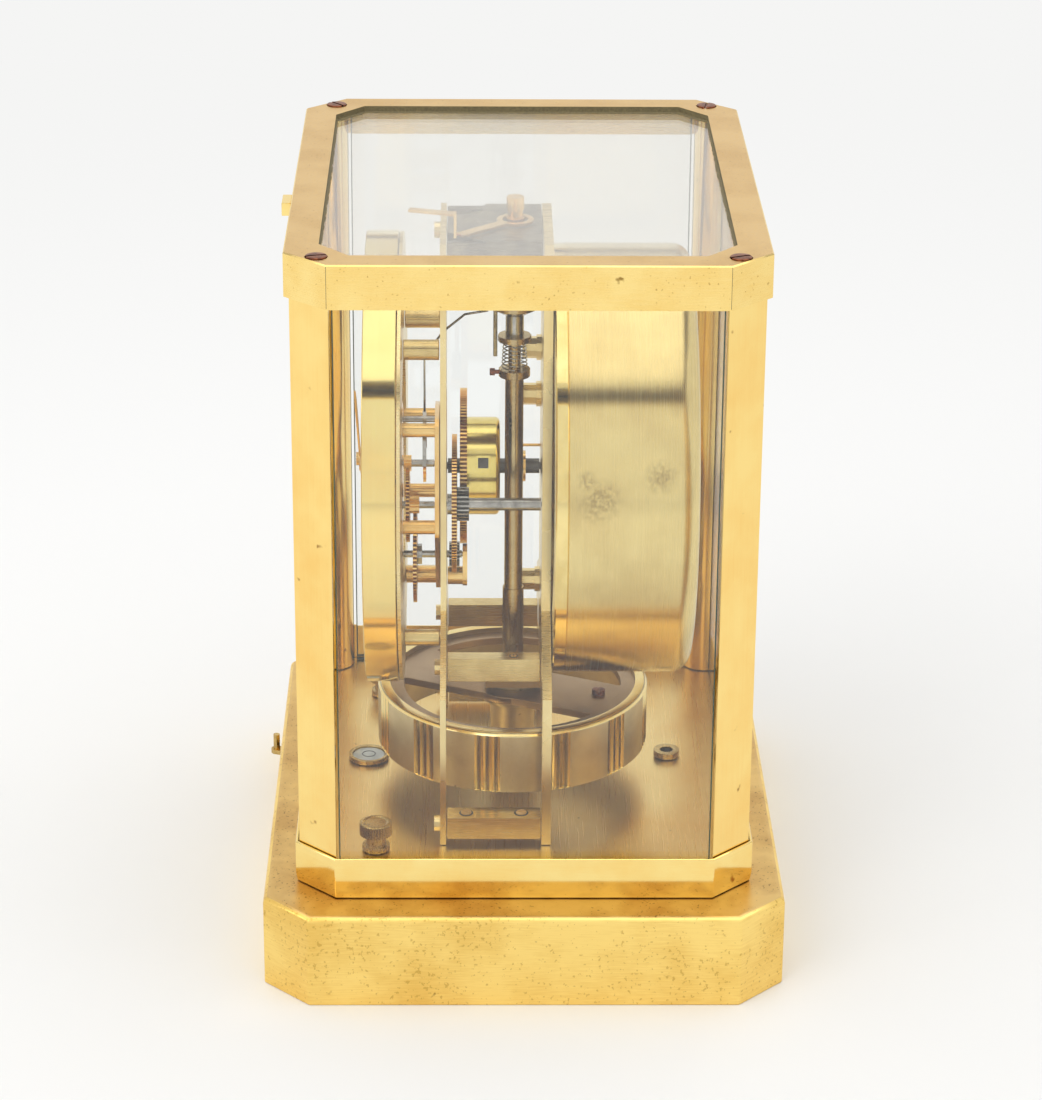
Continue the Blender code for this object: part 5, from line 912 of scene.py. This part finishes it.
def makeTeeth(node, p):
    x, z, steelRadius, rims = trainWheels[node]
    for number, (low, high, root, tip, pitch, count) in enumerate(rims):
        space = 2 * math.pi * pitch / count
        inner, outer = -p.above - p.below - p.sunk, 0
        points = [(reach, side * share * space / 2, -height) for height in (high, low)
                  for reach, share in ((inner, p.rootShare), (outer, p.tipShare)) for side in (-1, 1)]
        faces = [(0, 1, 3, 2), (4, 6, 7, 5), (0, 4, 5, 1), (2, 3, 7, 6), (0, 2, 6, 4), (1, 5, 7, 3)]
        tooth = reworked(meshFrom("tooth", points, faces), outward)
        finish = "polishedSteel" if pitch < steelRadius else "gildedWheelBrass"
        ring = stoodRound(f"{node}_teeth_{number + 1}", tooth, count, pitch + p.above, finish)
        placed(faceAlongY(ring, x, z), node, stands=False, angle=20)


def trainPiece(node, p, name=None):
    # pinions and arbors close to the axis are steel, the wheel round them brass, the toothed rims painted dark in
    # the gaps as shade
    x, z, steelRadius, rims = trainWheels[node]

    def rule(face):
        reach = math.hypot(face.center.x / mm - x, face.center.z / mm - z)
        toothed = any(low < face.center.y / mm < high and abs(reach - pitch + p.below) < p.band
                      for low, high, root, tip, pitch, count in rims)
        return (1 if reach < steelRadius else 0) + (2 if toothed and abs(face.normal.y) < 0.5 else 0)

    makeTeeth(node, p)
    trued = [(x, z, low, high, root, tip, pitch - p.below) for low, high, root, tip, pitch, count in rims]
    return refined(node, ["gildedWheelBrass", "polishedSteel", "paintedShadeToothGap", "blackedSteel"], 0, name=name,
        rule=rule, trued=trued)


for node in ("intermediate_wheel", "third_wheel", "fourth_wheel", "escape_wheel"):
    trainPiece(node, teeth)

barrel = Sizes(x=-13.0, z=137.0, radius=16.2, front=-18.5, rear=-7.5, wall=1.2, bore=3.1,
    roll=1.6, wheelRear=-18.25, hookSize=3.4, hookSunk=0.5, hookPlace=24,
    # how much larger than the hook plate each piece is, how proud it stands, and its finish
    hook={"hookFrame": (0.7, 0.05, "polishedBarrelBrass"), "hookPlate": (0, 0.13, "blackedSteel")},
    pulleyReach=2.9, pulleyFront=-3.7)


def makeBarrel(p):
    # the great wheel comes from its CAD node; the drum behind it is turned anew, with a rolled rear corner
    wheel = trainPiece("mainspring_barrel", teeth, "greatWheel")
    reworked(wheel.data, lambda bm: bmesh.ops.delete(bm, context="FACES", geom=[
        face for face in bm.faces if face.calc_center_median().y > p.wheelRear * mm]))
    r, inner = p.radius, p.rear - p.wall
    profile = [(r, p.front), (r - p.wall, p.front), (r - p.wall, inner), (p.bore, inner),
               (p.bore, p.rear), *quarterRound(r, p.rear, p.roll, 6)]
    turned("springBarrel", "mainspring_barrel", profile, (p.x, p.z), "polishedBarrelBrass", "Y", 128, 0,
           stands=False, angle=25)
    # the steel hook plate of the spring, let into the barrel's wall
    half, mid = p.hookSize / 2, (p.front + p.rear) / 2
    for name, (grow, rise, finish) in p.hook.items():
        plate = block(name, (r - p.hookSunk, mid - half - grow, -half - grow),
                      (r + rise, mid + half + grow, half + grow), 0.04)
        shift(turnRound(plate, math.radians(-p.hookPlace), "Y"), p.x, 0, p.z)
        placed(newPiece(name, plate, [finish]), "mainspring_barrel", stands=False)


def pulleyOrArbor(face):
    reach = math.hypot(face.center.x / mm - barrel.x, face.center.z / mm - barrel.z)
    return 1 if reach > barrel.pulleyReach and face.center.y > barrel.pulleyFront * mm else 0


makeBarrel(barrel)
refined("winding_arbor", ["blackedSteel", "gildedWheelBrass"], 0, rule=pulleyOrArbor)
refineAll([("winding_chain", "gildedWheelBrass", 0, 60), ("pallet_fork", "polishedSteel", 0, 60)])
print("movement finished")


# Pendulum: fluted rim, web, hub, tube, spring and cone

pendulum = Sizes(
    y=-3.0, radius=45.0, inner=41.0, bottom=45.3, top=66.3, bevel=1.0, ease=0.25,
    steps=1440, groups=12, flutes=3, groupShare=0.36, fluteDepth=0.8, turn=13.5,
    webLow=62.0, webHigh=64.5, webHole=7.7, webReach=0.3, windowInner=13.0, windowOuter=36.5,
    armWidth=24.0, armBearing=65, windowRound=4.0,
    screwPlace=(9.2, 25.5), screwRadius=2.2, screwTop=65.9, screwFoot=64.0, screwSlot=(0.6, 0.5),
)


def makeRim(p):
    bevelFrom = p.top - p.bevel
    profile = eased([(p.inner, p.top), (p.inner, p.bottom), (p.radius, p.bottom),
        (p.radius, bevelFrom), (p.radius - p.bevel, p.top)], p.ease, True, 2)
    rim = newPiece("pendulumRim", meshFrom("pendulumRim", [(r, 0, z) for r, z in profile], []))
    runGroup(rim, flutedRim, "blastedPendulumBrass", {
        "Steps": p.steps, "Rows": len(profile), "Groups": p.groups, "Flutes": p.flutes,
        "Group Share": p.groupShare, "Flute Depth": p.fluteDepth * mm, "Wall Radius": p.radius * mm})
    reworked(rim.data, outward)
    rim.data.materials.clear()
    for finish in ("blastedPendulumBrass", "polishedFluteBrass"):
        rim.data.materials.append(materials[finish])
    for face in rim.data.polygons:
        c = face.center / mm
        reach = math.hypot(c.x, c.y)
        phase = (math.atan2(c.y, c.x) / (2 * math.pi) * p.groups) % 1
        if reach > p.radius - p.fluteDepth - 0.05 and c.z < bevelFrom:
            face.material_index = 1 if phase < p.groupShare else 0
        else:
            face.material_index = 1 if reach > p.inner + 0.1 and c.z > p.bottom + 1 else 0
    shift(turnRound(rim.data, math.radians(p.turn), "Z"), y=p.y)
    placed(rim, "pendulum_ring", angle=28)


def makeWeb(p):
    # a flat curve with two kidney windows, thickened and eased, then made a mesh
    curve = bpy.data.curves.new("pendulumWeb", "CURVE")
    curve.dimensions = "2D"
    curve.fill_mode = "BOTH"
    curve.extrude = (p.webHigh - p.webLow) / 2 * mm - p.ease * mm
    curve.bevel_depth = p.ease * mm
    curve.bevel_resolution = 2

    def around(radius, turns):
        return [(radius * math.cos(turn), radius * math.sin(turn)) for turn in turns]

    loops = [around(radius, [2 * math.pi * i / steps for i in range(steps)])
             for radius, steps in ((p.inner + p.webReach - p.ease, 160), (p.webHole + p.ease, 48))]
    for side in (-1, 1):
        window = []
        middle = math.radians(p.armBearing) + side * math.pi / 2
        for radius, way in ((p.windowInner, 1), (p.windowOuter, -1)):
            half = math.pi / 2 - math.asin(min(1, p.armWidth / 2 / radius))
            window += around(radius, [middle + way * half * step / 12 for step in range(-12, 13)])
        loops.append(eased(window, p.windowRound, True, 2))
    for points in loops:
        spline = curve.splines.new("POLY")
        spline.points.add(len(points) - 1)
        for point, (x, y) in zip(spline.points, points):
            point.co = (x * mm, y * mm, 0, 1)
        spline.use_cyclic_u = True
    flat = newPiece("pendulumWeb", curve)
    mesh = bpy.data.meshes.new_from_object(flat.evaluated_get(bpy.context.evaluated_depsgraph_get()))
    bpy.data.objects.remove(flat)
    shift(mesh, 0, p.y, (p.webLow + p.webHigh) / 2)
    placed(newPiece("pendulumWeb", mesh, ["agedWebBrass"]), "pendulum_ring", stands=False)


def makeWebScrew(p):
    r, top, foot = p.screwRadius, p.screwTop, p.screwFoot
    placed(slottedHead("webScrew", [(0, top), (r, top), (r, foot), (0, foot)], r, top, p.screwSlot, 40,
        0.3, p.screwPlace, ["copperedScrew"]), "pendulum_ring", stands=False)


pendulumRod = Sizes(
    hub=[(0, 66.9), (7.4, 66.9), (7.4, 61.7), (10.5, 61.7), (10.5, 59.5), (7.4, 59.5), (7.4, 46.0), (0, 46.0)],
    barLow=(-10.0, -12.15, 66.6), barHigh=(10.0, 6.15, 70.3),
    tube=[(0, 185.0), (2.0, 185.0), (2.0, 175.8), (5.1, 175.8), (5.1, 173.3), (3.0, 173.3), (3.0, 99.3),
             (3.5, 99.3), (3.5, 70.6), (0, 70.6)],
    sideScrew=[(0, -11.0), (1.2, -11.0), (1.2, -9.3), (0.7, -9.3), (0.7, -6.9), (0, -6.9)],
    sideScrewZ=174.55, springLow=176.35, springHigh=186.6, lowerRadius=4.1, upperRadius=3.5,
    wireRadius=0.21, curls=8.0, sleeveLow=187.3, sleeveHigh=193.6,
)


def makeRod(p, y):
    turned("pendulumHub", "pendulum_hub", p.hub, (0, y), "blastedPendulumBrass", ease=0.25)
    placed(newPiece("hubBar", block("hubBar", p.barLow, p.barHigh, 0.3), ["matteGiltBar"]), "pendulum_hub",
           stands=False)
    turned("suspensionTube", "suspension_tube", p.tube, (0, y), "agedTubeBronze", ease=0.2)
    turned("collarScrew", "suspension_tube", p.sideScrew, (0, p.sideScrewZ), "copperedScrew", "Y", 32,
           stands=False)
    spring = newPiece("suspensionSpring", bpy.data.meshes.new("suspensionSpring"))
    runGroup(spring, spiralWire, "polishedSteel", {
        "Curls": p.curls, "Lower Radius": p.lowerRadius * mm, "Upper Radius": p.upperRadius * mm,
        "Height": (p.springHigh - p.springLow) * mm, "Wire Radius": p.wireRadius * mm})
    shift(spring.data, 0, y, p.springLow)
    placed(spring, "suspension_spring", angle=60)
    refined("locking_cone", ["agedTubeBronze", "polishedSteel"], 0,
            rule=lambda face: 1 if p.sleeveLow * mm < face.center.z < p.sleeveHigh * mm else 0)


makeRim(pendulum)
makeWeb(pendulum)
makeWebScrew(pendulum)
makeRod(pendulumRod, pendulum.y)
refineAll([("suspension_nut", "gildedWheelBrass", 0), ("regulator_lever", "gildedWheelBrass", 0.08)])
print("pendulum finished")


# Bellows drum behind the back plate, with its capsule and spring inside

drum = Sizes(centre=(0, 144.0), radius=69.0, front=9.2, rear=55.2, edge=6.0, dome=1.2, wall=1.5,
    flange=50.0, flangeDepth=2.0, bandRear=13.2, groove=0.3, grooveHalf=0.25, frontEase=0.4,
    guideOuter=7.0, guideBore=4.3, guideFront=49.4)


def makeDrum(p):
    r, back, inner = p.radius, p.rear - p.dome, p.rear - p.wall
    flangeRear, ease = p.front + p.flangeDepth, p.frontEase
    profile = [(0, p.rear), *quarterRound(r, back, p.edge, 12),
               (r, p.bandRear + p.grooveHalf), (r - p.groove, p.bandRear),
               (r, p.bandRear - p.grooveHalf), (r, p.front + ease), (r - ease, p.front),
               (p.flange, p.front), (p.flange, flangeRear), (r - p.wall, flangeRear),
               (r - p.wall, back - p.edge), (r - p.edge, back - p.wall), (p.guideOuter, inner),
               (p.guideOuter, p.guideFront), (p.guideBore, p.guideFront), (p.guideBore, inner),
               (0, inner)]
    piece = newPiece("bellowsDrum", lathe("bellowsDrum", profile, p.centre, "Y", 192, 0),
        ["turnedBrassDrum", "polishedBrassBand"])
    for face in piece.data.polygons:
        face.material_index = 1 if face.center.y < p.bandRear * mm else 0
    placed(piece, "bellows_drum", angle=25)


makeDrum(drum)
refineAll([("bellows_capsule", "gildedWheelBrass", 0), ("bellows_spring", "polishedSteel", 0, 60)])
print("drum finished")


# Levelling screws, rear foot and spirit level on the floor plate

levelling = Sizes(
    x=59.5, y=-47.5, ribRadius=0.36,
    # low, high, distance from the axis and number of the ribs
    knurls={"headKnurl_": (37.9, 41.9, 4.92, 36), "collarKnurl_": (32.7, 34.15, 4.1, 30)},
    profile=[(0, 41.9), (3.4, 41.9), (4.0, 42.2), (4.6, 42.2), (4.95, 41.9), (4.95, 37.9), (4.6, 37.7),
                (3.2, 37.7), (3.2, 34.3), (4.4, 34.3), (4.4, 32.5), (2.0, 32.5), (2.0, 2.9), (5.0, 2.9),
                (5.0, 0.3), (0, 0.3)],
)


def makeLevellingScrew(p, side, x):
    node = "levelling_screw_" + side
    turned("levellingScrew_" + side, node, p.profile, (x, p.y), "agedKnurlBronze", ease=0.12)
    for label, (low, high, place, count) in p.knurls.items():
        profile = [(0, low), (p.ribRadius, low), (p.ribRadius, high), (0, high)]
        rib = lathe(label + side, profile, steps=10, ease=0.12)
        knurl = stoodRound(label + side, rib, count, place, "agedKnurlBronze")
        shift(knurl.data, x, p.y)
        placed(knurl, node, stands=False, angle=50)


makeLevellingScrew(levelling, "left", -levelling.x)
makeLevellingScrew(levelling, "right", levelling.x)

rearFoot = Sizes(centre=(-9.8, 49.7), profile=[(4.4, 34.7), (4.4, 32.5), (3.2, 32.5), (3.2, 2.9), (5.0, 2.9),
    (5.0, 0.3), (2.1, 0.3), (2.1, 34.7)])
turned("rearFoot", "rear_foot", rearFoot.profile, rearFoot.centre, "agedKnurlBronze", "Z", 72, 0.35)

spiritLevel = Sizes(centre=(-7.9, -51.6), rim=[(6.8, 34.1), (6.8, 32.5), (5.5, 32.5), (5.5, 34.1)],
    cap=[(0, 33.75), (3.0, 33.72), (5.2, 33.6), (5.5, 33.3), (5.5, 32.6), (0, 32.6)],
    ring=[(2.3, 33.86), (2.3, 33.5), (2.05, 33.5), (2.05, 33.86)])


def makeSpiritLevel(p):
    place = p.centre
    turned("spiritLevelRim", "spirit_level", p.rim, place, "agedKnurlBronze", ease=0.3)
    turned("spiritLevelCap", "spirit_level", p.cap, place, "acrylicVialCap", ease=0.1, stands=False)
    turned("spiritLevelRing", "spirit_level", p.ring, place, "blackEnamelAndSinkShade", "Z", 64, 0.05, stands=False)


makeSpiritLevel(spiritLevel)
print("levelling set finished")
